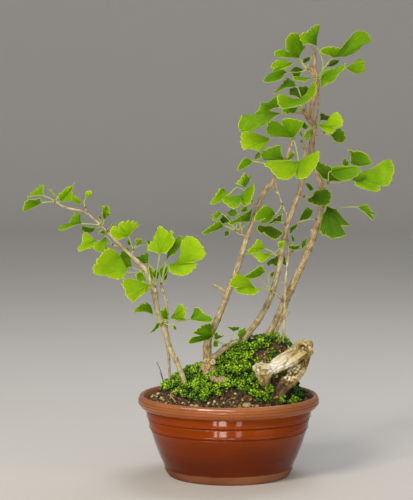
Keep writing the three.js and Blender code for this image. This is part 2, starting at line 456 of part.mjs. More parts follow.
        stalk: [[244.5, 190, 3], [237.5, 186.5, 1]] },
      { base: [241, 194.5], rim: [[232, 196.5], [226, 195.3], [222.8, 198.5], [226, 203.3],
        [230.5, 206.2], [235.5, 207.5], [239.5, 205.5], [241.8, 202.3], [243.3, 204.8], [246, 205.2],
        [249.3, 202.5], [252.5, 195.5], [254.6, 188.5], [253.8, 183.7], [252.3, 182.9],
        [249.3, 188]], depth: [-4, -12, -28, -10], stalk: [[246, 195.8, -2]] },
    ],
  },
  spray_front_twig: {
    from: [235.8, 229.4, -17.4],
    leaves: [
      { base: [222.4, 213.2], rim: [[219.5, 211], [217.3, 210.7], [210.8, 216.7], [213.6, 216.6],
        [212.6, 219.2], [214.5, 219.9], [218.5, 217.6]], depth: [-2, 4, -4, -6], stalk: [[231.5, 222, 0]] },
      { base: [239, 213.2], rim: [[237, 208], [231.5, 209.2], [227.8, 212], [230.5, 214.9], [235.5, 215.6]],
        depth: [6, 10, 12, 8], stalk: [[237.3, 222, 3]] },
      { base: [240.4, 211.6], rim: [[241, 207.2], [246.5, 206], [248, 208.6], [244, 211.5]],
        depth: [7, 9, 11, 8], stalk: [[237.6, 222, 3]] },
      { base: [249.7, 220.5], rim: [[251.5, 210.5], [253.6, 206.6], [249, 209.6], [242, 214.2],
        [235, 219], [229, 222.6], [230.5, 224], [238, 221.4]], depth: [-4, -7, -11, -12],
        stalk: [[243, 226, -3]] },
      { base: [225, 225.2], rim: [[221.5, 220.2], [217, 220.6], [212, 224.5], [207, 229], [201.8, 232.8],
        [205, 233.7], [210, 231], [217.5, 228.3]], depth: [0, -6, -12, -4], stalk: [[230.5, 226.9, 0]] },
      { base: [228.6, 222.4], rim: [[223.5, 223.2], [220, 220], [223, 213.6], [227.5, 215.2], [232, 220]],
        depth: [4, 6, 8, 6], stalk: [[232.5, 225.5, 2]] },
      { base: [229, 229], rim: [[225.3, 230.6], [224.6, 234], [226.6, 236], [229, 234.8], [230, 231.5]],
        depth: [4, 8, 4, 0] },
    ],
  },
  spray_front_pendant: {
    from: [281.8, 203.4, -21.6],
    leaves: [
      { base: [275.6, 213], rim: [[272, 209], [268.3, 205.6], [266, 204.5], [263, 205.8], [259.5, 209.3],
        [256, 213], [254.3, 217.5], [255, 220.3], [264.5, 216.7], [260, 221.2], [262, 222.5],
        [266, 222], [271, 219]], depth: [-4, -6, -14, -4], stalk: [[279.6, 208.5, -2]] },
    ],
  },
  spray_middle_dark: {
    from: [285, 223.3, 0.4],
    leaves: [
      { base: [270.6, 224.4], rim: [[278, 229.3], [283.6, 231.5], [280, 236.2], [273, 238], [268, 236],
        [264, 231.5], [260, 232], [257.5, 228], [258, 223.3], [264, 225.3]],
        depth: [-6, -5, -12, -8], stalk: [[280, 220.9, -2], [275, 221, -4]] },
      { base: [282.6, 221.3], rim: [[283, 212.3], [278, 215], [272.5, 219], [268, 223.4], [274, 222.2]],
        depth: [0, -2, 2, 4] },
    ],
  },
  spray_middle_spur: {
    from: [277.9, 255, 1.6],
    leaves: [
      { base: [264.6, 247.8], rim: [[262.5, 243.5], [261, 239.2], [259.3, 239.2], [254.5, 242.3],
        [251.5, 246], [247, 249.3], [249, 250.7], [247, 253], [251, 253.8], [258.5, 251.5]],
        depth: [-2, -4, -10, -6], stalk: [[273.5, 251.3, -1]] },
      { base: [272, 253], rim: [[265, 252.5], [258.5, 252], [254.3, 255.2], [256.3, 257.3], [260.3, 261.9],
        [265, 260.2], [269.3, 256.7]], depth: [-3, -8, -14, -10] },
      { base: [279.6, 248], rim: [[278.5, 245], [277.3, 241], [281, 240], [285, 240.6], [284, 244.6],
        [282, 247.5]], depth: [-6, -8, -10, -8], stalk: [[275.6, 251, -4]] },
      { base: [276.8, 254.4], rim: [[271, 257.5], [267.4, 261], [267.2, 265], [272.5, 262.8], [277, 265.5],
        [282.5, 263.2], [285.6, 263.8], [285.6, 259], [284, 252.6]], depth: [9, 10, 15, 16] },
    ],
  },
  spray_middle_low: {
    from: [271, 289.9, -4.6],
    leaves: [
      { base: [254.8, 287.2], rim: [[249.5, 281], [245, 276.5], [241.5, 273.7], [237, 273.5], [233.5, 276],
        [229.3, 282.5], [230, 285.7], [238.5, 285.6], [235.2, 288], [236.3, 290.4], [241, 292.5],
        [247.5, 294.2], [253, 294.4], [257.5, 292.3], [259.6, 290]], depth: [-10, -12, -26, -18],
        stalk: [[262, 287.2, -4]] },
      { base: [258.8, 276.3], rim: [[262.5, 272.4], [266.3, 271], [264, 267.8], [261, 264.8], [257, 266.7],
        [250.5, 271.5], [243.8, 276.6], [248, 278.1], [254.5, 278]], depth: [-4, 2, -8, -10],
        stalk: [[264, 282, -2]] },
      { base: [269.6, 273], rim: [[272, 270.8], [274.6, 270.6], [274.3, 274], [272.3, 277], [270, 275.8]],
        depth: [1, 2, 3, 1], stalk: [[268.6, 281, 0]] },
    ],
  },
  spray_thin: {
    from: [292.2, 250.3, 9],
    leaves: [
      { base: [292.5, 249.2], rim: [[288.4, 247.6], [288.6, 244.9], [293, 244.7], [300, 244.8],
        [297.5, 248.6]], depth: [-1, -4, -2, 4] },
      { base: [301.6, 248.7], rim: [[301, 244.5], [303.5, 239], [306.3, 237.4], [306.5, 242], [304, 247.5]],
        depth: [6, 8, 8, 6] },
      { base: [293.6, 242.6], rim: [[291.6, 238.5], [292, 234.6], [294.4, 236], [294.8, 240]],
        depth: [2, 4, 4, 2], stalk: [[293.6, 247, 1]] },
    ],
  },
};

// The old stump that slants across the right of the mound, and the dry roots beside it.
const deadwood = [
  [
    [256, 366, -60, 10], [264, 367, -60, 20], [272, 365, -57, 24], [281, 361, -53, 26],
    [291, 355, -48, 30], [301, 349.5, -42, 32], [309.5, 345, -37, 26],
  ],
  [[262, 365, -60, 24], [263.5, 374, -64, 24], [265, 382, -68, 17], [267, 392, -72, 10]],
  [
    [306, 350, -40, 24], [302, 358, -44, 28], [297, 366, -50, 31], [291, 374, -56, 32],
    [286, 382, -62, 28], [281, 391, -68, 20], [277, 399, -72, 14],
  ],
];
const dryRoots = [
  [
    [160, 401, -6, 2.6], [163, 396, -12, 2.6], [169, 395.3, -26, 2.6], [174, 400, -50, 2.4],
    [178, 407, -72, 2.2],
  ],
  [[168.5, 396.5, -25, 2.6], [174, 391, -24, 2.4], [180, 388, -28, 2.4], [187, 395, -36, 2.2]],
];
const grassBlades = [
  [[166, 394, 20, 2], [163.5, 381, 18, 1.8], [161, 371, 15, 1.6], [157, 361.5, 10, 1.2]],
  [[166, 393, 20, 2], [163, 380, 22, 1.6], [160, 371.5, 24, 1.2]],
];
const pebbles = [
  { name: 'pebble_large', at: [24, -92], radius: 6, turn: 0.4 },
  { name: 'pebble_middle', at: [14, -99], radius: 4.6, turn: 1.3 },
  { name: 'pebble_right', at: [38, -92], radius: 4.2, turn: 2.1 },
  { name: 'pebble_left', at: [-46, -86], radius: 4.6, turn: 0.9 },
];

// The mound: the height of its ridge along X, [x, height], and how far the green mat reaches down
// its front, [x, share of the way from the ridge to the wall].
const ridgeDepth = 20;
const ridge = [
  [-116, 108], [-92, 122], [-77, 134], [-60, 146], [-41, 150], [-14, 165], [3, 180], [16, 186],
  [36, 192], [54, 195], [74, 194], [84, 186], [92, 150], [98, 130], [112, 110],
];
const mats = {
  ground_cover: {
    left: -94, right: 92, back: 0.8, columns: 23, rows: 13,
    front: [
      [-96, -0.2], [-84, -0.42], [-72, -0.6], [-60, -0.7], [-40, -0.72], [-25, -0.68], [-10, -0.63],
      [10, -0.62], [28, -0.68], [40, -0.8], [58, -0.82], [63, -0.5], [69, -0.2], [94, -0.14],
    ],
  },
  ground_cover_right: { left: 71, right: 104, back: -0.35, columns: 5, rows: 5, front: [[71, -0.92]] },
};
const tuft = { height: 5.5, low: 1.4, shift: 0.6 };
const matThickness = 16;
const barePatch = { at: [280, 348, -12], size: [18, 30, 9] };

// Colour, roughness and metalness.
const finishes = {
  glaze: [0x96491c, 0.25, 0],
  soil: [0x3b2c1f, 0.95, 0],
  moss: [0x4f7d17, 0.8, 0],
  bark: [0xb3a177, 0.8, 0],
  paleBark: [0xd2c8ac, 0.75, 0],
  leaf: [0x8fbf22, 0.5, 0],
  darkLeaf: [0x4c8a18, 0.55, 0],
  deadwood: [0xcdbd8c, 0.85, 0],
  stone: [0xa89c86, 0.85, 0],
};
const darkSprays = ['spray_middle_dark', 'spray_thin', 'spray_tall_left', 'spray_foot'];

// A seeded draw between 0 and 1.
function makeDraw(seed) {
  let state = seed;
  return () => {
    state = (state * 1664525 + 1013904223) % 4294967296;
    return state / 4294967296;
  };
}

// The value at x of a line through [x, value] points.
function along(points, x) {
  const last = points.length - 1;
  if (x <= points[0][0]) return points[0][1];
  if (x >= points[last][0]) return points[last][1];
  const i = points.findIndex(([right]) => right > x);
  const [[x0, v0], [x1, v1]] = [points[i - 1], points[i]];
  return v0 + ((v1 - v0) * (x - x0)) / (x1 - x0);
}

function solidOf(geometry) {
  geometry.deleteAttribute('normal');
  geometry.deleteAttribute('uv');
  const merged = mergeVertices(geometry, 1e-3);
  return new wasm.Manifold(
    new wasm.Mesh({
      numProp: 3,
      vertProperties: new Float32Array(merged.attributes.position.array),
      triVerts: new Uint32Array(merged.index.array),
    }),
  );
}

const join = (solids) => solids.reduce((whole, solid) => whole.add(solid));
const cut = (solid, tools) => tools.reduce((rest, tool) => rest.subtract(tool), solid);

// The largest body of a solid, with the scraps of a cut dropped.
function largest(solid) {
  return solid.decompose().reduce((most, body) => (body.volume() > most.volume() ? body : most));
}

function meshOf(name, solid, [colour, roughness, metalness]) {
  const { vertProperties, triVerts } = solid.getMesh();
  const geometry = new THREE.BufferGeometry();
  geometry.setAttribute('position', new THREE.BufferAttribute(vertProperties, 3));
  geometry.setIndex(new THREE.BufferAttribute(triVerts, 1));
  geometry.computeVertexNormals();
  const material = new THREE.MeshStandardMaterial({ color: colour, roughness, metalness });
  const mesh = new THREE.Mesh(geometry, material);
  mesh.name = name;
  return mesh;
}

// A round limb along a smooth line through `points`: a cylinder bent along it, as wide at each
// point as `widths` says. `grow` makes it that much larger all round.
function limb(points, widths, grow) {
  const curve = new THREE.CatmullRomCurve3(points, false, 'centripetal');
  const steps = points.length - 1;
  const sides = Math.max(...widths) < thinLimb.width ? thinLimb.sides : thickLimb.sides;
  const rings = [];
  let side = new THREE.Vector3(0, 1, 0.2);
  for (let i = 0; i <= steps; i += 1) {
    const tangent = curve.getTangent(i / steps);
    side = side.clone().addScaledVector(tangent, -side.dot(tangent)).normalize();
    const end = i === 0 ? -grow : i === steps ? grow : 0;
    const centre = points[i].clone().addScaledVector(tangent, end);
    rings.push({ centre, side, across: side.clone().cross(tangent), radius: widths[i] / 2 + grow });
  }
  const geometry = new THREE.CylinderGeometry(1, 1, 1, sides, steps);
  const position = geometry.attributes.position;
  const corner = new THREE.Vector3();
  for (let i = 0; i < position.count; i += 1) {
    corner.fromBufferAttribute(position, i);
    const ring = rings[Math.round((corner.y + 0.5) * steps)];
    const bent = ring.centre.clone();
    bent.addScaledVector(ring.side, corner.x * ring.radius);
    bent.addScaledVector(ring.across, corner.z * ring.radius);
    position.setXYZ(i, bent.x, bent.y, bent.z);
  }
  return solidOf(geometry);
}

const limbsOf = (limbs, grow) =>
  join(limbs.map((line) => limb(line.map(place), line.map((point) => point[3]), grow)));

// Rows of points joined up into faces, each row with at least as many points as the row before.
function facesOf(rows) {
  const faces = [];
  let start = 0;
  for (let i = 0; i + 1 < rows.length; i += 1) {
    const [inner, outer] = [rows[i].length - 1, rows[i + 1].length - 1];
    const next = start + rows[i].length;
    const nearest = (j) => start + Math.round((j * inner) / outer);
    for (let j = 0; j < outer; j += 1) {
      faces.push(nearest(j), next + j, next + j + 1);
      if (nearest(j + 1) > nearest(j)) faces.push(nearest(j), next + j + 1, nearest(j + 1));
    }
    start = next;
  }
  return faces;
}

// A closed slab between two like sheets of points, with a wall round their edge.
function slabOf(top, under, faces) {
  const edges = new Set();
  for (let i = 0; i < faces.length; i += 3) {
    for (let j = 0; j < 3; j += 1) edges.add(`${faces[i + j]},${faces[i + ((j + 1) % 3)]}`);
  }
  const index = [...faces];
  for (let i = 0; i < faces.length; i += 3) {
    index.push(...[faces[i], faces[i + 2], faces[i + 1]].map((corner) => corner + top.length));
  }
  for (const edge of edges) {
    const [a, b] = edge.split(',').map(Number);
    const [c, d] = [a + top.length, b + top.length];
    if (!edges.has(`${b},${a}`)) index.push(b, a, c, b, c, d);
  }
  return solidOf(new THREE.BufferGeometry().setFromPoints([...top, ...under]).setIndex(index));
}

// A sheet of rows of points made a slab, half its thickness to each side along its normals.
function thickened(rows, thickness) {
  const points = rows.flat();
  const faces = facesOf(rows);
  const sheet = new THREE.BufferGeometry().setFromPoints(points).setIndex(faces);
  sheet.computeVertexNormals();
  const moved = (distance) =>
    points.map((point, i) => {
      const normal = new THREE.Vector3().fromBufferAttribute(sheet.attributes.normal, i);
      return point.clone().addScaledVector(normal, distance);
    });
  return slabOf(moved(thickness / 2), moved(-thickness / 2), faces);
}

// A ginkgo leaf: a flat stalk from the bud to the base, and a blade whose ribs fan out of the base
// to each point of the rim. Near the base the ribs run together into a wedge, and the blade bows a
// little towards the front. A large blade has a row of points part of the way out.
const wedge = 0.35;
const bow = 0.07;
const rowAt = 0.5;
const ribsPerPoint = 4;
const largeRim = 8;
function leafOf(leaf, bud) {
  const [baseDepth, first, middle, last] = leaf.depth.map((depth) => depth * spread + bud[2]);
  const base = place([...leaf.base, baseDepth]);
  const columns = leaf.rim.length - 1;
  const ribs = leaf.rim.map((point, i) => {
    const u = (2 * i) / columns - 1;
    const depth = middle * (1 - u * u) + ((last - first) / 2) * u + ((last + first) / 2) * u * u;
    return place([...point, depth]).sub(base);
  });
  const axis = ribs.reduce((sum, rib) => sum.add(rib), new THREE.Vector3()).divideScalar(ribs.length);
  const width = ribs[columns].clone().sub(ribs[0]);
  const front = axis.clone().cross(width).normalize();
  if (front.y > 0) front.negate();

  const rows = [ribs.map((rib) => base.clone().add(rib))];
  if (columns >= largeRim) {
    const steps = Math.ceil(columns / ribsPerPoint);
    const opened = rowAt ** wedge;
    const row = Array.from({ length: steps + 1 }, (_, i) => {
      const point = base.clone().addScaledVector(axis, rowAt * (1 - opened));
      point.addScaledVector(ribs[Math.round((i * columns) / steps)], rowAt * opened);
      return point.addScaledVector(front, bow * axis.length());
    });
    rows.unshift(row);
  }
  const via = (leaf.stalk ?? []).map(([column, row, depth]) => {
    return place([column, row, depth * spread + bud[2]]);
  });
  const path = [place(bud), ...via, base];
  let side = width.normalize();
  for (let i = path.length - 1; i >= 0; i -= 1) {
    const tangent = path[Math.min(i + 1, path.length - 1)].clone().sub(path[Math.max(i - 1, 0)]);
    const across = tangent.cross(new THREE.Vector3(0, -1, 0)).normalize();
    if (across.dot(side) < 0) across.negate();
    side = across;
    const half = side.clone().multiplyScalar(stalkWidth / 2);
    rows.unshift([path[i].clone().sub(half), path[i].clone().add(half)]);
  }
  return thickened(rows, bladeThickness);
}

function sprayOf({ from, leaves }) {
  const bud = new THREE.OctahedronGeometry(budRadius).translate(...place(from).toArray());
  return join([solidOf(bud), ...leaves.map((leaf) => leafOf(leaf, from))]);
}

function turned(profile) {
  const geometry = new THREE.LatheGeometry(profile.map(([r, z]) => new THREE.Vector2(r, z)), segments);
  return geometry.rotateX(Math.PI / 2);
}

// The pot: a glazed bowl with a rolled lip, two grooves round it and a paler foot.
const potRadius = potWidth / 2;
function potOf() {
  const lipBottom = 97.4;
  const grooves = [68.4, 84.3];
  const body = [[93.8, 14], [100, 27], [107.8, 51]];
  grooves.forEach((height, i) => {
    const radius = [112.5, 116.8][i];
    body.push([radius - 0.4, height - 1.3], [radius - 1.5, height], [radius + 0.3, height + 1.3]);
  });
  const lip = [
    [120.4, lipBottom], [potRadius - 3.4, lipBottom + 0.8], [potRadius - 1.2, 105.6],
    [potRadius, 108.2], [potRadius, 113.4], [potRadius - 3.4, potHeight],
  ];
  const foot = [[0, 0], [88, 0]];
  const inside = [[potRadius - 7.5, 115.5], ...innerWall(0), [0, floorThickness]];
  const pot = solidOf(turned([...foot, ...body, ...lip, ...inside]));
  const holes = Array.from({ length: drainHole.count }, (_, i) => {
    const angle = ((i + 0.5) * 2 * Math.PI) / drainHole.count;
    const hole = new THREE.CylinderGeometry(drainHole.radius, drainHole.radius, 4 * floorThickness, 12);
    hole.rotateX(Math.PI / 2);
    hole.translate(drainHole.fromAxis * Math.cos(angle), drainHole.fromAxis * Math.sin(angle), 0);
    return solidOf(hole);
  });
  return cut(pot, holes);
}

// The pot's inner wall from top to bottom, moved in by `inset`.
const innerWall = (inset) =>
  [[120.4, 99], [107.8, 51], [95, floorThickness]].map(([radius, height]) => [
    radius - potWall - inset,
    height,
  ]);

// How far the wall is from the ridge line, going front (-1) or back (+1) at x.
const wallRadius = 114.5;
function reach(x, way) {
  const half = Math.sqrt(Math.max(wallRadius ** 2 - x ** 2, 1));
  return Math.max(half - way * ridgeDepth, 1);
}

function moundHeight(x, y) {
  const way = Math.sign(y - ridgeDepth) || 1;
  const share = Math.min(Math.abs(y - ridgeDepth) / reach(x, way), 1);
  const rise = Math.max(along(ridge, x) - soilLevel, 0);
  return soilLevel + rise * Math.cos((share * Math.PI) / 2) ** 2;
}

// The soil fills the pot and rises to the mound. `raise` gives it a higher skin, for cutting.
function soilOf(raise) {
  const wall = innerWall(gap).reverse();
  const [outer] = wall[wall.length - 1];
  const topRadii = [outer, 104, 88, 70, 48, 24, 0];
  const side = wall.map(([radius, height]) => [radius, height + (height === floorThickness ? gap : 0)]);
  const top = topRadii.map((radius) => [radius, soilLevel]);
  const geometry = turned([[0, floorThickness + gap], ...side, ...top]);
  const position = geometry.attributes.position;
  for (let i = 0; i < position.count; i += 1) {
    if (position.getZ(i) > soilLevel - 1) {
      position.setZ(i, moundHeight(position.getX(i), position.getY(i)) + raise);
    }
  }
  return solidOf(geometry);
}

// A point of the mound by x and by its share of the way from the ridge to the wall.
function onMound(x, share, lift) {
  const y = ridgeDepth + share * reach(x, Math.sign(share) || 1);
  return new THREE.Vector3(x, y, moundHeight(x, y) + lift);
}

// A green mat: a quilt of pointed tufts over the mound, each tuft between four low places.
function matOf(area, draw) {
  const rows = [];
  for (let row = 0; row <= area.rows; row += 1) {
    rows.push([]);
    for (let column = 0; column <= area.columns; column += 1) {
      const shift = (draw() - 0.5) * tuft.shift;
      const x = area.left + ((area.right - area.left) * (column + shift)) / area.columns;
      const front = along(area.front, x);
      const share = front + ((area.back - front) * (row + (draw() - 0.5) * tuft.shift)) / area.rows;
      const high = (row + column) % 2 === 0 ? tuft.height * (0.6 + 0.8 * draw()) : tuft.low;
      rows[row].push(onMound(x, share, high));
    }
  }
  const under = rows.flat().map((point) => point.clone().setZ(point.z - matThickness));
  return slabOf(rows.flat(), under, facesOf(rows).reverse());
}

function pebbleOf({ at: [x, y], radius, turn }, grow) {
  const stone = new THREE.IcosahedronGeometry(radius + grow, 0);
  stone.scale(1.1, 0.85, 0.7).rotateZ(turn).translate(x, y, moundHeight(x, y) + radius * 0.25);
  return solidOf(stone);
}

function ellipsoidOf({ at, size: [x, y, z] }) {
  const ball = new THREE.IcosahedronGeometry(1, 1).scale(x, y, z);
  return solidOf(ball.translate(...place(at).toArray()));
}

const group = new THREE.Group();
const addMesh = (name, solid, finish) => group.add(meshOf(name, solid, finishes[finish]));

const stemTools = Object.values(stems).map((limbs) => limbsOf(limbs, gap));
const woodTool = limbsOf(deadwood, gap);
const rootTool = limbsOf(dryRoots, gap);
const grassTool = limbsOf(grassBlades, gap);
const pebbleTools = pebbles.map((pebble) => pebbleOf(pebble, gap));

addMesh('pot', potOf(), 'glaze');
const soil = cut(soilOf(0), [...stemTools, woodTool, rootTool, grassTool, ...pebbleTools]);
addMesh('soil', largest(soil), 'soil');
const draw = makeDraw(7);
const matTools = [
  soilOf(gap), ellipsoidOf(barePatch), ...stemTools, woodTool, rootTool, grassTool, ...pebbleTools,
];
Object.entries(mats).forEach(([name, area]) => {
  addMesh(name, largest(cut(matOf(area, draw), matTools)), 'moss');
});
addMesh('deadwood', limbsOf(deadwood, 0), 'deadwood');
addMesh('dry_root', limbsOf(dryRoots, 0), 'paleBark');
addMesh('grass_tuft', limbsOf(grassBlades, 0), 'darkLeaf');
pebbles.forEach((pebble) => addMesh(pebble.name, pebbleOf(pebble, 0), 'stone'));
Object.entries(stems).forEach(([name, limbs]) => {
  addMesh(name, limbsOf(limbs, 0), name === 'stem_thin' ? 'paleBark' : 'bark');
});
Object.entries(sprays).forEach(([name, spray]) => {
  const finish = darkSprays.includes(name) ? 'darkLeaf' : 'leaf';
  addMesh(name, largest(cut(sprayOf(spray), stemTools)), finish);
});

export default group;
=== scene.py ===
import json
import math
import random

import bmesh
import bpy
import numpy as np
from mathutils import Matrix, Quaternion, Vector, kdtree, noise


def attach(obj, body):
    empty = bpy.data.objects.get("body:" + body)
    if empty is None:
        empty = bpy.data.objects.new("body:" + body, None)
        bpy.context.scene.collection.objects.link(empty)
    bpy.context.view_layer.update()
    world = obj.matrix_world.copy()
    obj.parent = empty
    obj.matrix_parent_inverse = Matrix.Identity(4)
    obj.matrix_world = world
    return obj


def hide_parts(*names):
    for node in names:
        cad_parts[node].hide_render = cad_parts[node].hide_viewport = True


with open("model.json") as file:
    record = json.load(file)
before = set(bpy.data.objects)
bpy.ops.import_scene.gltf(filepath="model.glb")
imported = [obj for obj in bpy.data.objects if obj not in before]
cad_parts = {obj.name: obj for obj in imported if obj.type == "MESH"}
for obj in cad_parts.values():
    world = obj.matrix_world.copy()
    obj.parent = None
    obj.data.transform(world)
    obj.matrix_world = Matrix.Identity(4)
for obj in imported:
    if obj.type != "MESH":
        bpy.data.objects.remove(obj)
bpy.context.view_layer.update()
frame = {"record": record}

mm = 0.001  # sizes below are in millimetres, Blender's are in metres

# Camera, light and floor.

view = {"place": (-40.4, -2900, 575.6), "tilt": 4.963, "turn": -0.171, "lens": 147.0}
cameraData = bpy.data.cameras.new("camera")
cameraData.lens = view["lens"]
cameraData.sensor_width = 36
cameraData.clip_end = 30
cameraObject = bpy.data.objects.new("camera", cameraData)
cameraObject.location = Vector(view["place"]) * mm
cameraObject.rotation_euler = (math.radians(90 - view["tilt"]), 0, math.radians(view["turn"]))
bpy.context.collection.objects.link(cameraObject)
bpy.context.scene.camera = cameraObject


def linear(code):
    # sRGB hex to the linear colour that the sockets take
    parts = [int(code[i:i + 2], 16) / 255 for i in (1, 3, 5)]
    return (*[v / 12.92 if v <= 0.04045 else ((v + 0.055) / 1.055) ** 2.4 for v in parts], 1)


def setSockets(tree, node, sockets):
    for key, value in dict(sockets).items():
        if isinstance(value, bpy.types.NodeSocket):
            tree.links.new(value, node.inputs[key])
        else:
            node.inputs[key].default_value = value


def addNode(tree, kind, sockets=(), out=0, stops=(), **settings):
    # a node with its settings, values, links and a ramp's stops; gives the output asked for
    node = tree.nodes.new("ShaderNode" + kind)
    for name, value in settings.items():
        setattr(node, name, value)
    setSockets(tree, node, sockets)
    while stops and len(node.color_ramp.elements) < len(stops):
        node.color_ramp.elements.new(0.5)
    for i, (position, code) in enumerate(stops):
        node.color_ramp.elements[i].position = position
        node.color_ramp.elements[i].color = linear(code)
    return node.outputs[out]


def layOver(tree, colour, over, share, strength):
    # a second colour laid over the first where the share says so
    factor = addNode(tree, "Math", {0: share, 1: strength}, operation="MULTIPLY")
    return addNode(tree, "Mix", {0: factor, 6: colour, 7: over}, 2, data_type="RGBA")


def newMaterial(name):
    material = bpy.data.materials.new(name)
    material.use_nodes = True
    tree = material.node_tree
    return material, tree, tree.nodes["Principled BSDF"]


studio = {
    "floor": "#dcdcde", "sky": "#e4e2dc", "skyStrength": 0.32,
    "lights": [  # name, place and aim in metres, size in metres, watts, colour
        ("key", (-1.5, -2.3, 2.1), (0, 0, 0.35), (0.95, 0.75), 60, "#fff1d6"),
        ("fill", (2.3, -1.9, 1.2), (0, 0, 0.3), (1.6, 1.6), 9, "#fff3df"),
        ("narrow pane", (-0.85, -2.5, 0.4), (0, 0, 0.1), (0.16, 0.5), 5, "#fff6e8"),
        ("wide pane", (-0.38, -2.5, 0.4), (0, 0, 0.1), (0.42, 0.5), 13, "#fff6e8"),
        ("right pane", (0.57, -2.45, 0.4), (0, 0, 0.1), (0.3, 0.5), 3.6, "#fff6e8"),
        ("top", (0.5, 0.9, 2.3), (0, 0, 0.3), (1.4, 1.0), 16, "#ffffff"),
        ("sheen", (-1.3, -2.2, 2.1), (0, 0, 0.1), (4.0, 0.4), 110, "#e2e2ff"),
    ],
}
for name, spot, aim, size, power, tint in studio["lights"]:
    light = bpy.data.lights.new(name, "AREA")
    light.shape = "RECTANGLE"
    light.size, light.size_y = size
    light.energy = power
    light.color = linear(tint)[:3]
    lamp = bpy.data.objects.new(name, light)
    lamp.location = spot
    lamp.rotation_euler = (Vector(aim) - Vector(spot)).to_track_quat("-Z", "Y").to_euler()
    lamp.visible_camera = False
    lamp.visible_diffuse = name != "sheen"  # a window seen only in the glaze
    bpy.context.collection.objects.link(lamp)
world = bpy.data.worlds.new("studio")
world.use_nodes = True
world.node_tree.nodes["Background"].inputs["Color"].default_value = linear(studio["sky"])
world.node_tree.nodes["Background"].inputs["Strength"].default_value = studio["skyStrength"]
bpy.context.scene.world = world
bpy.context.scene.view_settings.view_transform = "Standard"  # keeps the greens as full as they are


def pieceOf(name, bm, materials):
    # a finished mesh from a bmesh, at the origin, with its materials
    mesh = bpy.data.meshes.new(name)
    bm.to_mesh(mesh)
    bm.free()
    for material in materials:
        mesh.materials.append(material)
    mesh.shade_smooth()
    piece = bpy.data.objects.new(name, mesh)
    bpy.context.collection.objects.link(piece)
    return piece


def standFor(piece, node):
    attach(piece, "root")
    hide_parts(node)


def spinProfile(profile, steps):
    # a round shape from (radius, height) points in metres
    bm = bmesh.new()
    line = [bm.verts.new((radius, 0, height)) for radius, height in profile]
    edges = [bm.edges.new(pair) for pair in zip(line, line[1:])]
    bmesh.ops.spin(bm, geom=line + edges, cent=(0, 0, 0), axis=(0, 0, 1), angle=2 * math.pi,
                   steps=steps, use_merge=True)
    return bm


# a round floor whose edge curves up to a low wall, so that it looks the same from every side
backdrop = {"flat": 4.6, "curve": 1.3, "high": 2.4, "steps": 96, "bends": 16}
profile = [(0, 0)]
for i in range(backdrop["bends"] + 1):
    angle = math.radians(90 * i / backdrop["bends"])
    profile.append((backdrop["flat"] + backdrop["curve"] * math.sin(angle),
                    backdrop["curve"] * (1 - math.cos(angle))))
profile.append((backdrop["flat"] + backdrop["curve"], backdrop["high"]))
bm = spinProfile(profile, backdrop["steps"])
bmesh.ops.remove_doubles(bm, verts=bm.verts, dist=1e-6)
# Backdrop paper: plain and matt, so it takes a soft shadow and no gloss.
paper, tree, shader = newMaterial("matt backdrop paper")
setSockets(tree, shader, {"Base Color": linear(studio["floor"]), "Roughness": 0.9})
floor = pieceOf("floor", bm, [paper])
print("camera, light and floor are set")

# Layout: columns run right, rows run down, depth in mm counts back from the pot's axis.

elevation = {"step": 1.43, "axisColumn": 229, "groundRow": 475.5}
eye = {"right": -32, "high": 580, "far": 2900}


def place(column, row, depth):
    right = (column - elevation["axisColumn"]) * elevation["step"]
    high = (elevation["groundRow"] - row) * elevation["step"]
    spread = (eye["far"] + depth) / eye["far"]
    return Vector((eye["right"] + (right - eye["right"]) * spread, depth,
                   eye["high"] + (high - eye["high"]) * spread)) * mm


def smoothLine(points, spacing):
    # a smooth line through the points, each a place and a radius
    ends = [points[0] * 2 - points[1], *points, points[-1] * 2 - points[-2]]
    line = [points[0].copy()]
    for four in zip(ends, ends[1:], ends[2:], ends[3:]):
        knots = [0]
        for a, b in zip(four, four[1:]):
            knots.append(knots[-1] + max((b.xyz - a.xyz).length, 1e-6) ** 0.5)
        steps = max(1, math.ceil((four[2].xyz - four[1].xyz).length / spacing))
        for step in range(1, steps + 1):
            t = knots[1] + (knots[2] - knots[1]) * step / steps

            def between(a, b, low, high):
                return (a * (high - t) + b * (t - low)) / (high - low)

            near = [between(four[i], four[i + 1], knots[i], knots[i + 1]) for i in range(3)]
            wide = [between(near[i], near[i + 1], knots[i], knots[i + 2]) for i in range(2)]
            line.append(between(*wide, knots[1], knots[2]))
    return line


def gridOf(bm, columns, rows):
    # the vertices of a flat grid, row by row
    return bmesh.ops.create_grid(bm, x_segments=columns, y_segments=rows, size=0.5)["verts"]


def addTube(bm, line, sides, shape=None):
    # a closed tube along a line; shape(angle, along) scales its radius and returns layer values
    line = [line[0].copy(), *line, line[-1].copy()]
    line[0].w = line[-1].w = 0
    grain = bm.verts.layers.float_vector["grain"]
    scarsAndShade = bm.verts.layers.float["scarsAndShade"]
    age = bm.verts.layers.float["age"]
    last = len(line) - 1
    verts = gridOf(bm, sides, last)
    side = Vector((0, 1, 0.2))
    travelled = 0
    for ring, point in enumerate(line):
        tangent = line[min(ring + 1, last)].xyz - line[max(ring - 1, 0)].xyz
        tangent.normalize()
        side = (side - tangent * side.dot(tangent)).normalized()
        across = tangent.cross(side)
        travelled += (point.xyz - line[max(ring - 1, 0)].xyz).length
        for i in range(sides + 1):
            angle = 2 * math.pi * (i % sides) / sides
            scale, values = shape(angle, travelled, point) if shape else (1, (0, 0))
            out = side * math.cos(angle) + across * math.sin(angle)
            vert = verts[ring * (sides + 1) + i]
            vert.co = point.xyz + out * point.w * scale
            vert[grain] = Vector((point.w * math.cos(angle), point.w * math.sin(angle), travelled))
            vert[scarsAndShade], vert[age] = values
    return verts


def finishSolid(bm):
    bmesh.ops.remove_doubles(bm, verts=bm.verts, dist=1e-6)
    bmesh.ops.recalc_face_normals(bm, faces=bm.faces)


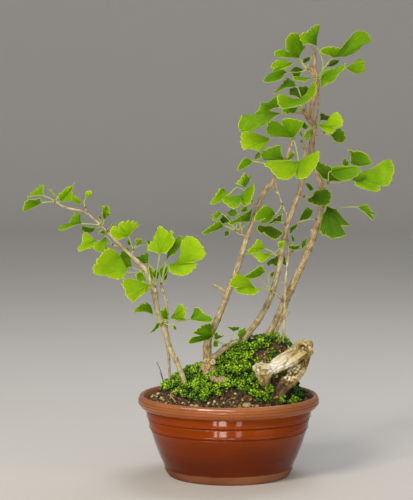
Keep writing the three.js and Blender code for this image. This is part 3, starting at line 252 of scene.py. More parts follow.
def newLayers():
    bm = bmesh.new()
    bm.verts.layers.float_vector.new("grain")
    for name in ("scarsAndShade", "age", "tone", "margin", "rib", "reach"):
        bm.verts.layers.float.new(name)
    return bm


def repeatShape(bm, places):
    # fills the bmesh with copies of its one small shape, each by its own matrix and tone
    tone = bm.verts.layers.float["tone"]
    copyOf, cornerOf = bm.verts.layers.int.new("copy"), bm.verts.layers.int.new("corner")
    corners = [v.co.copy() for v in bm.verts]
    for i, vert in enumerate(bm.verts):
        vert[cornerOf] = i
    copies = 1
    while copies < len(places):
        verts = [v for v in bm.verts if v[copyOf] < len(places) - copies]
        edges = [e for e in bm.edges if e.verts[0][copyOf] < len(places) - copies]
        faces = [f for f in bm.faces if f.verts[0][copyOf] < len(places) - copies]
        made = bmesh.ops.duplicate(bm, geom=verts + edges + faces)["geom"]
        for vert in made:
            if isinstance(vert, bmesh.types.BMVert):
                vert[copyOf] += copies
        copies = min(2 * copies, len(places))
    for vert in bm.verts:
        matrix, value = places[vert[copyOf]]
        vert.co = matrix @ corners[vert[cornerOf]]
        vert[tone] = value
    bm.verts.layers.int.remove(copyOf)
    bm.verts.layers.int.remove(bm.verts.layers.int["corner"])


def joinInto(bm, other, materialIndex):
    for face in other.faces:
        face.material_index = materialIndex
    mesh = bpy.data.meshes.new("passing")
    other.to_mesh(mesh)
    other.free()
    bm.from_mesh(mesh)
    bpy.data.meshes.remove(mesh)


pot = {
    "steps": 144, "high": 117, "drainRadius": 5, "drainAway": 48, "drainSides": 24, "drillLength": 40,
    "outside": [  # radius, height, corner radius
        (0, 0, 0), (84.5, 0, 1.5), (89, 4.5, 4), (92.3, 11, 2), (92.8, 15.5, 2), (95, 20.5, 4),
        (100, 31, 12), (107.3, 51, 20), (111.9, 66.6, 0.5), (110.8, 67.8, 0.5), (112.9, 69, 0.6),
        (114.7, 70.3, 0.7), (113.9, 72.1, 0.4), (116, 82.7, 0.8), (114.7, 83.7, 0.5), (116.8, 84.9, 0.6),
        (118.2, 86.2, 0.7), (117.5, 88, 0.4), (119.9, 97.2, 0.6), (119.3, 98.2, 0.4), (124.6, 98.6, 0.8),
        (127, 101.4, 1.6), (127.2, 103.2, 0.5), (129.3, 103.9, 0.8), (130, 106.6, 0.8), (128.9, 107.1, 0.3),
        (129.9, 107.8, 0.6), (129.6, 110.6, 0.8), (128.3, 111.2, 0.3), (129, 111.9, 0.6),
        (127.4, 115.6, 1.4), (124.4, 117.3, 1.6), (121.4, 115.4, 2), (115.4, 99, 8), (102.8, 51, 20),
        (90, 9, 6), (0, 9, 0),
    ],
    "crown": [  # heights where the bands' bump goes from raised, white, to level, black
        (73.6, "#ffffff"), (82.9, "#000000"), (83.5, "#000000"), (84, "#ffffff"), (89.2, "#ffffff"),
        (97, "#000000"), (98, "#000000"), (98.6, "#ffffff"),
    ],
}


def roundCorners(profile):
    points = []
    for i, (radius, height, corner) in enumerate(profile):
        here = Vector((radius, height))
        if corner == 0:
            points.append(here)
            continue
        before = Vector(profile[i - 1][:2]) - here
        after = Vector(profile[i + 1][:2]) - here
        reach = min(corner, before.length * 0.45, after.length * 0.45)
        start, end = here + before.normalized() * reach, here + after.normalized() * reach
        for step in range(5):
            t = step / 4
            points.append(start * (1 - t) ** 2 + here * 2 * t * (1 - t) + end * t * t)
    return points


# Glazed earthenware: a thick, warm brown glaze, glossy, with slow throwing ripples under it,
# darker low down and lighter and greyer on the lip as a painted sheen; the foot was wiped bare and is dull
# and greyish.
glaze, tree, shader = newMaterial("brown glazed earthenware")
where = addNode(tree, "TexCoord", out="Object")
height = addNode(tree, "SeparateXYZ", {0: where}, out="Z")
stretched = addNode(tree, "Mapping", {"Vector": where, "Scale": (6, 6, 30)})
streaks = addNode(tree, "TexNoise", {"Vector": stretched, "Scale": 1.4, "Detail": 5, "Roughness": 0.55})
speckle = addNode(tree, "TexNoise", {"Vector": where, "Scale": 900, "Detail": 3, "Roughness": 0.6})
share = addNode(tree, "Math", {0: height, 1: pot["high"] * mm}, operation="DIVIDE")
# colour by height, darker low down; the lip's lighter, greyer stops are a painted sheen
body = addNode(tree, "ValToRGB", {0: share},
    stops=[(0.0, "#682a06"), (0.14, "#6a2600"), (0.45, "#7a2e00"), (0.6, "#913b00"), (0.83, "#984004"),
    (0.88, "#ae6434"), (1.0, "#b3744a")])
cloudy = addNode(tree, "ValToRGB", {0: streaks}, stops=[(0.3, "#8a8a8a"), (0.7, "#ffffff")])
colour = addNode(tree, "Mix", {0: 0.55, 6: body, 7: cloudy}, 2, data_type="RGBA", blend_type="MULTIPLY")
fleck = addNode(tree, "Math", {0: speckle, 1: 0.66}, operation="GREATER_THAN")
colour = layOver(tree, colour, linear("#4a1f0c"), fleck, 0.3)
drip = addNode(tree, "Math", {0: streaks, 1: 5 * mm, 2: 10.4 * mm}, operation="MULTIPLY_ADD")
bare = addNode(tree, "Math", {0: height, 1: drip}, operation="LESS_THAN")
footClay = addNode(tree, "ValToRGB", {0: streaks}, stops=[(0.35, "#6c3a1e"), (0.65, "#946042")])
colour = addNode(tree, "Mix", {0: bare, 6: colour, 7: footClay}, 2, data_type="RGBA")
rough = addNode(tree, "Math", {0: 0.06, 1: addNode(tree, "Math", {0: bare, 1: 0.6}, operation="MULTIPLY")},
    operation="ADD")
rough = addNode(tree, "Math",
    {0: rough, 1: addNode(tree, "Math", {0: streaks, 1: 0.08}, operation="MULTIPLY")}, operation="ADD")
# the two bands were thrown slightly crowned, so their upper halves face up a little
crown = addNode(tree, "ValToRGB", {0: share},
    stops=[(high / pot["high"], code) for high, code in pot["crown"]])
crowned = addNode(tree, "Bump", {"Strength": 1, "Distance": 2.9 * mm, "Height": crown})
ripple = addNode(tree, "Bump",
    {"Strength": 0.18, "Distance": 0.6 * mm, "Height": streaks, "Normal": crowned})
setSockets(tree, shader,
    {"Base Color": colour, "Roughness": rough, "Normal": ripple, "IOR": 1.5, "Specular IOR Level": 0.22})

bm = spinProfile([(p.x * mm, p.y * mm) for p in roundCorners(pot["outside"])], pot["steps"])
finishSolid(bm)
potPiece = pieceOf("glazed_pot", bm, [glaze])
bm = bmesh.new()
for i in range(4):
    angle = math.radians(45 + 90 * i)
    drainAt = Matrix.Translation(Vector((math.cos(angle), math.sin(angle), 0)) * pot["drainAway"] * mm)
    bmesh.ops.create_cone(bm, cap_ends=True, segments=pot["drainSides"], radius1=pot["drainRadius"] * mm,
                          radius2=pot["drainRadius"] * mm, depth=pot["drillLength"] * mm, matrix=drainAt)
drills = pieceOf("drills", bm, [])
cutter = potPiece.modifiers.new("drain holes", "BOOLEAN")
cutter.object = drills
cutter.solver = "EXACT"
drained = bpy.data.meshes.new_from_object(potPiece.evaluated_get(bpy.context.evaluated_depsgraph_get()))
potPiece.modifiers.clear()
potPiece.data = drained
bpy.data.objects.remove(drills)
standFor(potPiece, "pot")
print("pot is glazed")

# Mound: its shape in mm, as the soil and the green mats follow it.

ridgeDepth = 20
soilLevel = 109
wallRadius = 114.5
ridge = [
    (-116, 108), (-92, 122), (-77, 134), (-60, 146), (-41, 150), (-14, 165), (3, 180), (16, 186),
    (36, 192), (54, 195), (74, 194), (84, 186), (92, 150), (98, 130), (112, 110),
]


def along(points, x):
    return float(np.interp(x, [p[0] for p in points], [p[1] for p in points]))


def reach(x, way):
    return max(math.sqrt(max(wallRadius ** 2 - x * x, 1)) - way * ridgeDepth, 1)


def moundHeight(x, y):
    way = 1 if y >= ridgeDepth else -1
    share = min(abs(y - ridgeDepth) / reach(x, way), 1)
    rise = max(along(ridge, x) - soilLevel, 0)
    return soilLevel + rise * math.cos(share * math.pi / 2) ** 2


def moundNormal(x, y):
    step = 2
    slopeX = (moundHeight(x + step, y) - moundHeight(x - step, y)) / (2 * step)
    slopeY = (moundHeight(x, y + step) - moundHeight(x, y - step)) / (2 * step)
    return Vector((-slopeX, -slopeY, 1)).normalized()


def onMound(x, share):
    y = ridgeDepth + share * reach(x, 1 if share >= 0 else -1)
    return x, y, moundHeight(x, y)


def stoneAt(spot, size, shape, draw):
    # the place of one stone, turned any way
    turn = Quaternion((draw.random(), draw.random(), draw.random()), draw.uniform(0, 6))
    return Matrix.LocRotScale(spot * mm, turn, Vector(shape) * size * mm)


def addStones(bm, stones, materialIndex):
    grains = newLayers()
    bmesh.ops.create_icosphere(grains, subdivisions=1, radius=1)
    repeatShape(grains, stones)
    joinInto(bm, grains, materialIndex)


# Potting soil: crumbly, almost black-brown where damp, with lighter grit; wholly dull.
earth, tree, shader = newMaterial("damp potting soil")
where = addNode(tree, "TexCoord", out="Object")
# crumbs of about 3 mm
clods = addNode(tree, "TexNoise", {"Vector": where, "Scale": 160, "Detail": 8, "Roughness": 0.7})
grit = addNode(tree, "TexVoronoi", {"Vector": where, "Scale": 420})
colour = addNode(tree, "ValToRGB", {0: clods},
    stops=[(0.3, "#140b02"), (0.46, "#3c2a0e"), (0.58, "#6b4f22"), (0.75, "#a08046")])
light = addNode(tree, "Math", {0: grit, 1: 0.16}, operation="LESS_THAN")
colour = layOver(tree, colour, linear("#a58a55"), light, 0.5)
lumps = addNode(tree, "Bump", {"Strength": 0.8, "Distance": 1.5 * mm, "Height": clods})
setSockets(tree, shader, {"Base Color": colour, "Roughness": 0.95, "Normal": lumps})

# Mixed grit: dull grains from peat brown to pale sand, so each shows as a crumb of its own.
grain, tree, shader = newMaterial("mixed grit")
tone = addNode(tree, "Attribute", out="Fac", attribute_name="tone")
colour = addNode(tree, "ValToRGB", {0: tone},
    stops=[(0.0, "#1c1205"), (0.35, "#4d3812"), (0.65, "#8c6c2e"), (0.85, "#c0a063"), (1.0, "#eadbb0")])
setSockets(tree, shader, {"Base Color": colour, "Roughness": 0.9})

soil = {
    "around": 150, "rings": 60, "lumps": 3.2, "sunk": 0.6, "rimBand": 6, "wall": [
        (89.7, 9.3), (102.5, 51), (115.1, 99), (115.3, 107.6)],  # radius and height along the pot's inside
    "grains": 3000, "within": 111, "sizes": (0.8, 1.0, 1.3, 1.6, 2.1, 2.7), "fineAbove": 150, "fine": 0.6,
    "grain": (1.3, 1, 0.75), "darkness": 1.9, "seed": 5,
}
bm = newLayers()
rings = [(0, soil["wall"][0][1]), *soil["wall"]]
for i in range(soil["rings"] + 1):
    rings.append((wallRadius * (1 - i / soil["rings"]), None))
for k, vert in enumerate(gridOf(bm, soil["around"], len(rings) - 1)):
    radius, high = rings[k // (soil["around"] + 1)]
    angle = 2 * math.pi * (k % (soil["around"] + 1) % soil["around"]) / soil["around"]
    x, y = radius * math.cos(angle), radius * math.sin(angle)
    if high is None:
        rough = noise.fractal(Vector((x, y, 0)) * 0.14, 0.6, 2.1, 4)
        inward = min(1, (wallRadius - radius) / soil["rimBand"])
        high = moundHeight(x, y) - soil["sunk"] + soil["lumps"] * rough * inward
    vert.co = Vector((x, y, high)) * mm
finishSolid(bm)
draw = random.Random(soil["seed"])
stones = []
for i in range(soil["grains"]):
    angle, away = draw.uniform(0, 2 * math.pi), soil["within"] * math.sqrt(draw.random())
    x, y = away * math.cos(angle), away * math.sin(angle)
    fine = soil["fine"] if moundHeight(x, y) > soil["fineAbove"] else 1
    size = draw.choice(soil["sizes"]) * fine
    matrix = stoneAt(Vector((x, y, moundHeight(x, y))), size, soil["grain"], draw)
    stones.append((matrix, draw.random() ** soil["darkness"]))
addStones(bm, stones, 1)
soilPiece = pieceOf("potting_soil", bm, [earth, grain])
standFor(soilPiece, "soil")
print("soil is filled in")

# Green mats of creeping leaflets on the mound.

mats = {
    "ground_cover": {"left": -94, "right": 92, "back": 0.8, "columns": 110, "rows": 84, "leaflets": 7200,
                     "front": [(-96, -0.2), (-84, -0.42), (-72, -0.6), (-60, -0.7), (-40, -0.72),
                               (-25, -0.68), (-10, -0.63), (10, -0.62), (28, -0.68), (40, -0.8),
                               (58, -0.82), (63, -0.5), (69, -0.2), (94, -0.14)]},
    "ground_cover_right": {"left": 71, "right": 104, "back": -0.35, "columns": 24, "rows": 24,
                           "leaflets": 520, "front": [(71, -0.92)]},
}
cushion = {"low": 0.6, "high": 6.2, "size": 13, "fineSize": 5, "fine": 0.6, "thick": 4, "sunk": 1.2,
           "seed": 11, "perSprig": 4, "opening": 1.35, "leaflet": (1.5, 2.7), "lean": 0.7, "tilt": 0.7,
           "above": 3.8, "ragged": 0.1, "steep": 0.34, "forward": (0, -0.25, 0.2), "flat": (1, 0.8, 0.26),
           "dusty": 0.66, "gritty": 260, "grit": (0.7, 1.7), "gritShape": (1.4, 1, 0.8), "gritSunk": 0.9}
# patches of the mats, each a column, row, depth and radius in mm: the shady ones have darker leaflets,
# the openings are bare round the burl, the stump's legs and the dry root, the gritty ones are half bare
shadyPatches = [(303, 390, -30, 15), (290, 394, -50, 11)]
openings = [(209.5, 363.3, -20, 9), (215, 379, -50, 3.2), (222, 380.3, -54, 5), (203, 366, -14, 5),
            (277.5, 381, -46, 5), (166, 395, -20, 7), (287, 396.5, -60, 4), (172, 394.5, -30, 6),
            (181, 390, -28, 4)]
grittyPatches = [(281, 346, -14, 15), (264, 353.5, -28, 12), (273, 349, -22, 10)]


def nearness(spot, patches):
    # 1 within a patch, falling to 0 at 1.5 times its radius
    inside = 0
    for column, row, depth, radius in patches:
        away = (spot - place(column, row, depth) / mm).length / radius
        inside = max(inside, min(1, (1.5 - away) * 2))
    return inside


def cushionHeight(spot):
    # mats are made of soft cushions that run together, low round the openings
    lumps = noise.noise(Vector((spot.x, spot.y, 3)) / cushion["size"]) * 0.5 + 0.5
    fine = noise.noise(Vector((spot.x, spot.y, 8)) / cushion["fineSize"]) * cushion["fine"]
    full = cushion["low"] + (cushion["high"] - cushion["low"]) * max(0, lumps) + fine
    return full * (1 - nearness(spot, openings)) * (1 - 0.7 * nearness(spot, grittyPatches))


# Creeping leaflets: thin, waxy and bright, so each catches its own light over dark gaps; the ones
# set deeper in the mat and those in shady patches are darker, as painted shade.
waxyGreen, tree, shader = newMaterial("waxy creeping leaflets")
tone = addNode(tree, "Attribute", out="Fac", attribute_name="tone")
where = addNode(tree, "TexCoord", out="Object")
patches = addNode(tree, "TexNoise", {"Vector": where, "Scale": 55, "Detail": 2})
shade = addNode(tree, "Math",
    {0: patches, 1: 0.5, 2: addNode(tree, "Math", {0: tone, 1: 0.25}, operation="SUBTRACT")},
    operation="MULTIPLY_ADD")
colour = addNode(tree, "ValToRGB", {0: shade},
    stops=[(0.0, "#0a1c01"), (0.22, "#1d4202"), (0.45, "#437203"), (0.7, "#78a80a"), (1.0, "#bbe62c")])
setSockets(tree, shader, {"Base Color": colour, "Roughness": 0.38, "Specular IOR Level": 0.22})

# The litter under them: matted old stems and dark peat, kept near black green as painted shade in
# the gaps between the leaflets.
litterAndGapShade, tree, shader = newMaterial("matted stems and peat with painted gap shade")
where = addNode(tree, "TexCoord", out="Object")
mottle = addNode(tree, "TexNoise", {"Vector": where, "Scale": 330, "Detail": 6, "Roughness": 0.65})
colour = addNode(tree, "ValToRGB", {0: mottle},
    stops=[(0.35, "#070c02"), (0.55, "#142204"), (0.75, "#3a3a12")])
dust = addNode(tree, "ValToRGB", {0: mottle}, stops=[(0.3, "#24140c"), (0.5, "#5e3c28"), (0.7, "#93705a")])
dusty = addNode(tree, "Attribute", out="Fac", attribute_name="tone")
colour = addNode(tree, "Mix", {0: dusty, 6: colour, 7: dust}, 2, data_type="RGBA")
tangle = addNode(tree, "Bump", {"Strength": 0.9, "Distance": 1.2 * mm, "Height": mottle})
setSockets(tree, shader, {"Base Color": colour, "Roughness": 0.95, "Normal": tangle})


def matPiece(name, area, draw):
    bm = newLayers()
    tone = bm.verts.layers.float["tone"]
    for k, vert in enumerate(gridOf(bm, area["columns"], area["rows"])):
        row, column = divmod(k, area["columns"] + 1)
        x = area["left"] + (area["right"] - area["left"]) * column / area["columns"]
        front = along(area["front"], x) + 0.04 * noise.noise(Vector((x / 6, 4, 0)))
        share = front + (area["back"] - front) * row / area["rows"]
        spot = Vector(onMound(x, share))
        edge = min(row, area["rows"] - row, column, area["columns"] - column)
        vert[tone] = nearness(spot, grittyPatches + openings)
        spot.z += cushionHeight(spot) * min(1, edge / 4) - cushion["sunk"] - nearness(spot, openings)
        vert.co = spot * mm
    bmesh.ops.recalc_face_normals(bm, faces=bm.faces)
    if sum(face.normal.z for face in bm.faces) < 0:
        bmesh.ops.reverse_faces(bm, faces=bm.faces)
    bmesh.ops.solidify(bm, geom=bm.faces, thickness=cushion["thick"] * mm)
    places = []
    while len(places) < area["leaflets"]:
        x, y = draw.uniform(area["left"], area["right"]), draw.uniform(-112, 112)
        way = -1 if y < ridgeDepth else 1
        share = (y - ridgeDepth) / reach(x, way)
        front = along(area["front"], x) + cushion["ragged"] * noise.noise(Vector((x / 4, 4, y / 9)))
        normal = moundNormal(x, y)
        steep = cushion["steep"]
        if not front < share < area["back"] or draw.random() > steep / max(normal.z, steep):
            continue
        spot = Vector((x, y, moundHeight(x, y)))
        if draw.random() < max(nearness(spot, openings), cushion["dusty"] * nearness(spot, grittyPatches)):
            continue
        lift, lump = draw.random(), cushionHeight(spot)
        spot += normal * (lump - 1 + lift * cushion["above"])
        lean = Vector([draw.uniform(-1, 1) for axis in range(3)]) * cushion["lean"]
        sprig = (normal + lean + Vector(cushion["forward"])).to_track_quat("Z", "Y")
        sprig = sprig @ Quaternion((0, 0, 1), draw.uniform(0, 2 * math.pi))
        size = draw.uniform(*cushion["leaflet"])
        # painted shade: leaflets set deeper in the mat get a darker tone, darker still in the shady patches
        shadedTone = 0.64 * lift - 0.06 + 0.3 * draw.random() * (0.4 + lump / 5)
        shadedTone -= 0.5 * nearness(spot, shadyPatches)
        for i in range(cushion["perSprig"]):
            around = 2 * math.pi * (i + draw.uniform(-0.15, 0.15)) / cushion["perSprig"]
            turn = sprig @ Quaternion((0, 0, 1), around)
            turn = turn @ Quaternion((0, 1, 0), -cushion["tilt"] * draw.uniform(0.3, 1.2))
            centre = spot + turn @ Vector((size * cushion["opening"], 0, 0))
            matrix = Matrix.LocRotScale(centre * mm, turn, Vector(cushion["flat"]) * size * mm)
            places.append((matrix, min(1, shadedTone + draw.uniform(0, 0.25))))
    leaflets = newLayers()
    bmesh.ops.create_uvsphere(leaflets, u_segments=6, v_segments=2, radius=1)
    repeatShape(leaflets, places)
    joinInto(bm, leaflets, 1)
    stones = []
    while len(stones) < cushion["gritty"] and name == "ground_cover":
        column, row, depth, radius = draw.choice(grittyPatches)
        centre = place(column, row, depth) / mm
        x, y = centre.x + draw.gauss(0, radius * 0.6), centre.y + draw.gauss(0, radius * 0.6)
        spot = Vector((x, y, moundHeight(x, y)))
        size = draw.uniform(*cushion["grit"])
        spot.z += cushionHeight(spot) - cushion["gritSunk"]
        matrix = stoneAt(spot, size, cushion["gritShape"], draw)
        stones.append((matrix, 0.2 + 0.75 * draw.random() ** 1.5))
    if stones:
        addStones(bm, stones, 2)
    piece = pieceOf(name + "_leaflets", bm, [litterAndGapShade, waxyGreen, grain])
    standFor(piece, name)


draw = random.Random(cushion["seed"])
for name, area in mats.items():
    matPiece(name, area, draw)
print("green mats are planted")

# The old stump, then pebbles, dry roots and grass.

deadwood = {
    "sides": 24, "step": 2, "voxel": 0.85, "square": 3.4, "uneven": 0.12, "cell": 6.5, "stretch": 0.2,
    "steps": 1.1, "crack": 1.3, "crackWide": 0.14, "lumps": 1.2, "threads": 0.45, "grit": 3, "splinter": 3,
    "warp": 0.35, "cutDepth": 6, "jag": 2.4, "seed": 4,
    "cuts": [  # where it split flat: column, row, depth, the way the face looks and its reach in mm
        ((286, 359.5, -60.5), (0.2, -0.905, 0.372), 20), ((303, 349.5, -51), (0.2, -0.905, 0.372), 15),
        ((313.6, 347, -38), (1, -0.15, 0.05), 15), ((311.5, 354.5, -38), (0.75, -0.2, -0.62), 15),
        ((285, 351, -50), (-0.52, 0, 0.85), 18), ((301.5, 339.2, -44), (-0.42, 0, 0.9), 9),
        ((309.5, 339.3, -44), (0.35, 0, 0.93), 9), ((261, 363, -62), (-0.05, -0.2, 0.97), 10),
    ],
    "crater": (302, 346.5, -50, 4, 4.5),  # column, row, depth, radius and hollow in mm
    "limbs": [
        [(267, 369, -58, 12), (273, 367.5, -58, 18), (280, 364, -56, 22), (288, 359, -51, 25),
         (296, 353, -46, 25), (303, 348.5, -42, 25), (308.5, 347.5, -39, 24), (312, 347, -37, 21)],
        [(299.5, 347, -47, 11), (305, 342, -45, 9), (310, 343, -44, 9), (313, 345, -42, 9)],
        [(254.3, 364.5, -64, 8), (258, 367.3, -65, 15), (264, 369, -64, 19), (270, 368.5, -61, 14)],
        [(259, 370, -64, 12), (262, 375, -65, 9), (263, 377, -64, 5)],
        [(264, 367, -54, 23), (264.5, 375, -54, 22), (265.5, 383, -56, 15), (267, 392, -60, 8)],
        [(258, 366, -60, 11), (261, 373, -61, 11), (262, 381, -61, 8), (263, 388, -62, 5)],
        [(270, 371, -60, 8), (269.5, 377, -60, 8), (268, 384, -60, 6)],
        [(305, 350, -24, 16), (305, 358, -25, 17), (301.5, 366, -29, 20), (294, 374, -37, 24),
         (287.5, 382, -45, 23), (282.5, 389, -54, 17), (278, 398, -62, 11)],
        [(275, 373, -36, 8), (273.5, 382, -42, 8), (275, 391, -54, 7), (277, 398, -64, 6)],
        [(281, 377, -30, 13), (278, 385, -36, 13), (278, 393, -50, 9)],
    ],
    # the darkest zones, in the arch and under the plank, are painted shade, and the cream on the plank's
    # upper faces is part bleaching and part painted light
    "zones": [  # column, row, radius and tone: 0 dark brown, 0.5 golden, 1 cream
        (274, 369, 5, 1.05), (280, 366, 5, 1.05), (286, 361, 5, 0.92), (291, 363, 5, 0.8),
        (281, 359, 4, 0.85), (305, 348, 8, 0.6), (296, 350, 6, 0.6), (300, 355, 4, 0.7),
        (306, 340, 3, 0.85), (254, 362, 3, 0.98), (267, 365, 3, 0.9), (261, 369, 5, 0.76),
        (265, 374, 4, 0.7), (262, 378, 3, 0.58), (265, 384, 4, 0.3), (277, 381, 5, 0), (284, 373, 3, 0),
        (289, 378, 5, 0.8), (297, 371, 5, 0.74), (306, 360, 5, 0.36), (282, 390, 6, 0.08),
        (292, 384, 4, 0.35),
    ],
    # column, row and radius of the more broken, the pitted and the shaded places
    "jagged": [(260, 369, 7), (306, 358, 5), (284, 386, 6)],
    "pitted": [(305, 346.5, 5), (288, 378, 7), (295, 371, 6), (259, 369, 3)],
    "shaded": [(277, 380, 4.5), (276, 387, 4), (283, 374, 2.5), (291, 366.5, 3), (299, 361.5, 2.5)],
}


def layoutOf(point):
    # column and row of a point, the way back from place()
    x, y, z = point / mm
    spread = (eye["far"] + y) / eye["far"]
    return (elevation["axisColumn"] + (eye["right"] + (x - eye["right"]) / spread) / elevation["step"],
            elevation["groundRow"] - (eye["high"] + (z - eye["high"]) / spread) / elevation["step"])


def limbLine(limb, spacing):
    return smoothLine([Vector((*place(*point[:3]), point[3] / 2 * mm)) for point in limb], spacing * mm)


# Weathered deadwood: sun-bleached to cream where it is bare, brightest on its upper faces as part painted
# light, golden and pitted at the old break, brown where it meets the soil, with painted shade in the arch,
# under the plank, in the cracks, between the grit and in the hollow of the break. It split along its
# fibres, so it is stepped, cracked and dull.
bleached, tree, shader = newMaterial("weathered bleached deadwood")
grainAt = addNode(tree, "Attribute", out="Vector", attribute_name="grain")
fibres = addNode(tree, "Mapping", {"Vector": grainAt, "Scale": (700, 700, 60)})
lines = addNode(tree, "TexNoise", {"Vector": fibres, "Scale": 1, "Detail": 6, "Roughness": 0.6})
pores = addNode(tree, "TexNoise", {"Vector": grainAt, "Scale": 420, "Detail": 5, "Roughness": 0.7})
zone = addNode(tree, "Attribute", out="Fac", attribute_name="tone")
base = addNode(tree, "ValToRGB", {0: zone},
    stops=[(0.0, "#4f3818"), (0.25, "#83693a"), (0.5, "#b59c5c"), (0.75, "#dccd98"), (1.0, "#fbfaf2")])
dark = addNode(tree, "ValToRGB", {0: zone}, stops=[(0.0, "#1c0f04"), (0.5, "#5d4419"), (1.0, "#b09a62")])
thread = addNode(tree, "ValToRGB", {0: lines}, stops=[(0.38, "#ffffff"), (0.52, "#000000")])
colour = layOver(tree, base, dark, thread, 0.5)
spots = addNode(tree, "ValToRGB", {0: pores}, stops=[(0.36, "#ffffff"), (0.48, "#000000")])
colour = layOver(tree, colour, dark, spots, 0.4)
# painted shade: dark brown in the cracks, between the grit, in the hollow of the break and in the shaded
# places
creviceShade = addNode(tree, "Attribute", out="Fac", attribute_name="scarsAndShade")
colour = addNode(tree, "Mix", {0: creviceShade, 6: colour, 7: linear("#2a1806")}, 2, data_type="RGBA")
relief = addNode(tree, "Math", {0: lines, 1: pores}, operation="ADD")
rough = addNode(tree, "Bump", {"Strength": 0.7, "Distance": 0.8 * mm, "Height": relief})
setSockets(tree, shader, {"Base Color": colour, "Roughness": 0.85, "Normal": rough})


def squared(angle, travelled, point):
    # a limb that split off square: flat faces with blunt corners
    power = deadwood["square"]
    corner = (abs(math.cos(angle)) ** power + abs(math.sin(angle)) ** power) ** (-1 / power)
    rough = noise.noise(Vector((math.cos(angle), math.sin(angle), travelled * 60)) * 1.5 + point.xyz * 9)
    return 0.93 * corner * (1 + deadwood["uneven"] * rough), (0, 0)


def bell(x, middle, width):
    return math.exp(-((x - middle) / width) ** 2)


def sharesOf(column, row, spots):
    # for each spot, 1 at its middle, falling off over its radius
    return [math.exp(-((column - spot[0]) ** 2 + (row - spot[1]) ** 2) / spot[2] ** 2) for spot in spots]


def nearShare(column, row, spots):
    return min(1, sum(sharesOf(column, row, spots)))


noise.seed_set(deadwood["seed"])  # noise_vector would else start from the clock
bm = newLayers()
samples = []
for limb in deadwood["limbs"]:
    line = limbLine(limb, deadwood["step"])
    addTube(bm, line, deadwood["sides"], squared)
    travelled = 0
    for here, after in zip(line, line[1:]):
        step = after.xyz - here.xyz
        samples.append((here.xyz, step.normalized(), travelled, line[-1].xyz))
        travelled += step.length
finishSolid(bm)
finder = kdtree.KDTree(len(samples))
for i, sample in enumerate(samples):
    finder.insert(sample[0], i)
finder.balance()
stump = pieceOf("weathered_stump", bm, [bleached])
remesh = stump.modifiers.new("one skin", "REMESH")
remesh.mode = "VOXEL"
remesh.voxel_size = deadwood["voxel"] * mm
joined = bpy.data.meshes.new_from_object(stump.evaluated_get(bpy.context.evaluated_depsgraph_get()))
stump.modifiers.clear()
bm = newLayers()
bm.from_mesh(joined)
for spot, facing, within in deadwood["cuts"]:
    spot, facing = place(*spot), Vector(facing).normalized()
    for vert in bm.verts:
        over = (vert.co - spot).dot(facing)
        if 0 < over < deadwood["cutDepth"] * mm and (vert.co - spot).length < within * mm:
            vert.co -= facing * over
grain, scarsAndShade, tone = (bm.verts.layers.float_vector["grain"], bm.verts.layers.float["scarsAndShade"],
                       bm.verts.layers.float["tone"])
bm.normal_update()
column, row, depth, hollowRadius, hollow = deadwood["crater"]
crater = place(column, row, depth)
for vert in bm.verts:
    at = vert.co.copy()
    column, row = layoutOf(at)
    centre, fibre, travelled, tip = samples[finder.find(at)[1]]
    side = (Vector((0, 1, 0)) - fibre * fibre.y).normalized()
    off = at - centre
    vert[grain] = Vector((off.dot(side), off.dot(fibre.cross(side)), travelled + off.dot(fibre)))
    fluted = vert[grain] / (deadwood["cell"] * mm)
    fluted.z *= deadwood["stretch"]
    fluted += noise.noise_vector(at * 60) * deadwood["warp"]
    away, cells = noise.voronoi(fluted)
    level = noise.noise(cells[0] * 3.7)
    crack = max(0, 1 - (away[1] - away[0]) / deadwood["crackWide"])
    threads = noise.noise(Vector((fluted.x * 5, fluted.y * 5, fluted.z * 3)))
    lump = noise.noise(at * 90)
    gritty = nearShare(column, row, deadwood["pitted"])
    bead = 0.45 - noise.voronoi(at * 270)[0][0]
    sunk = hollow * bell((at - crater).length, 0, hollowRadius * mm)
    jagged = 1 + deadwood["jag"] * nearShare(column, row, deadwood["jagged"])
    rise = (deadwood["steps"] * jagged * level
            - deadwood["crack"] * crack * (1 - gritty) * min(jagged, 2)
            + deadwood["lumps"] * lump + deadwood["threads"] * jagged * threads
            + deadwood["grit"] * gritty * bead - sunk)
    # tone from the zones, with their painted shade and light, lighter on the grit's tops and darker between
    # them as painted light and shade
    shares = sharesOf(column, row, deadwood["zones"])
    mean = sum(w * zone[3] for w, zone in zip(shares, deadwood["zones"])) / max(sum(shares), 1e-6)
    vert[tone] = min(1, max(0, mean + 0.16 * level + 0.1 * lump + 0.1 * threads + 1.1 * gritty * bead))
    # painted shade in the cracks, in the gaps between the grit, in the hollow of the break and in the
    # shaded places
    vert[scarsAndShade] = min(0.9, 0.5 * crack * (1 - gritty) * min(jagged, 1.8)
                       + min(0.8, max(0, -bead) * 5) * gritty + 0.6 * sunk / hollow
                       + 0.8 * nearShare(column, row, deadwood["shaded"]) * (at.y > -50 * mm))
    torn = max(0, 1 + (at - tip).dot(fibre) / (deadwood["splinter"] * mm))  # 1 and more at the broken end
    strand = noise.noise(Vector((vert[grain].x, vert[grain].y, 0)) * 260)
    vert.co = at + vert.normal * rise * mm + fibre * min(torn, 1) * strand * deadwood["splinter"] * mm
bm.to_mesh(stump.data)
bm.free()
stump.data.shade_smooth()
standFor(stump, "deadwood")
print("stump is weathered")

pebbles = {
    "pebble_large": {"at": (24, -92), "radius": 6, "turn": 0.4, "tone": 0.62},
    "pebble_middle": {"at": (14, -99), "radius": 4.6, "turn": 1.3, "tone": 0.4},
    "pebble_right": {"at": (38, -92), "radius": 4.2, "turn": 2.1, "tone": 0.5},
    "pebble_left": {"at": (-46, -86), "radius": 4.6, "turn": 0.9, "tone": 0.6},
}

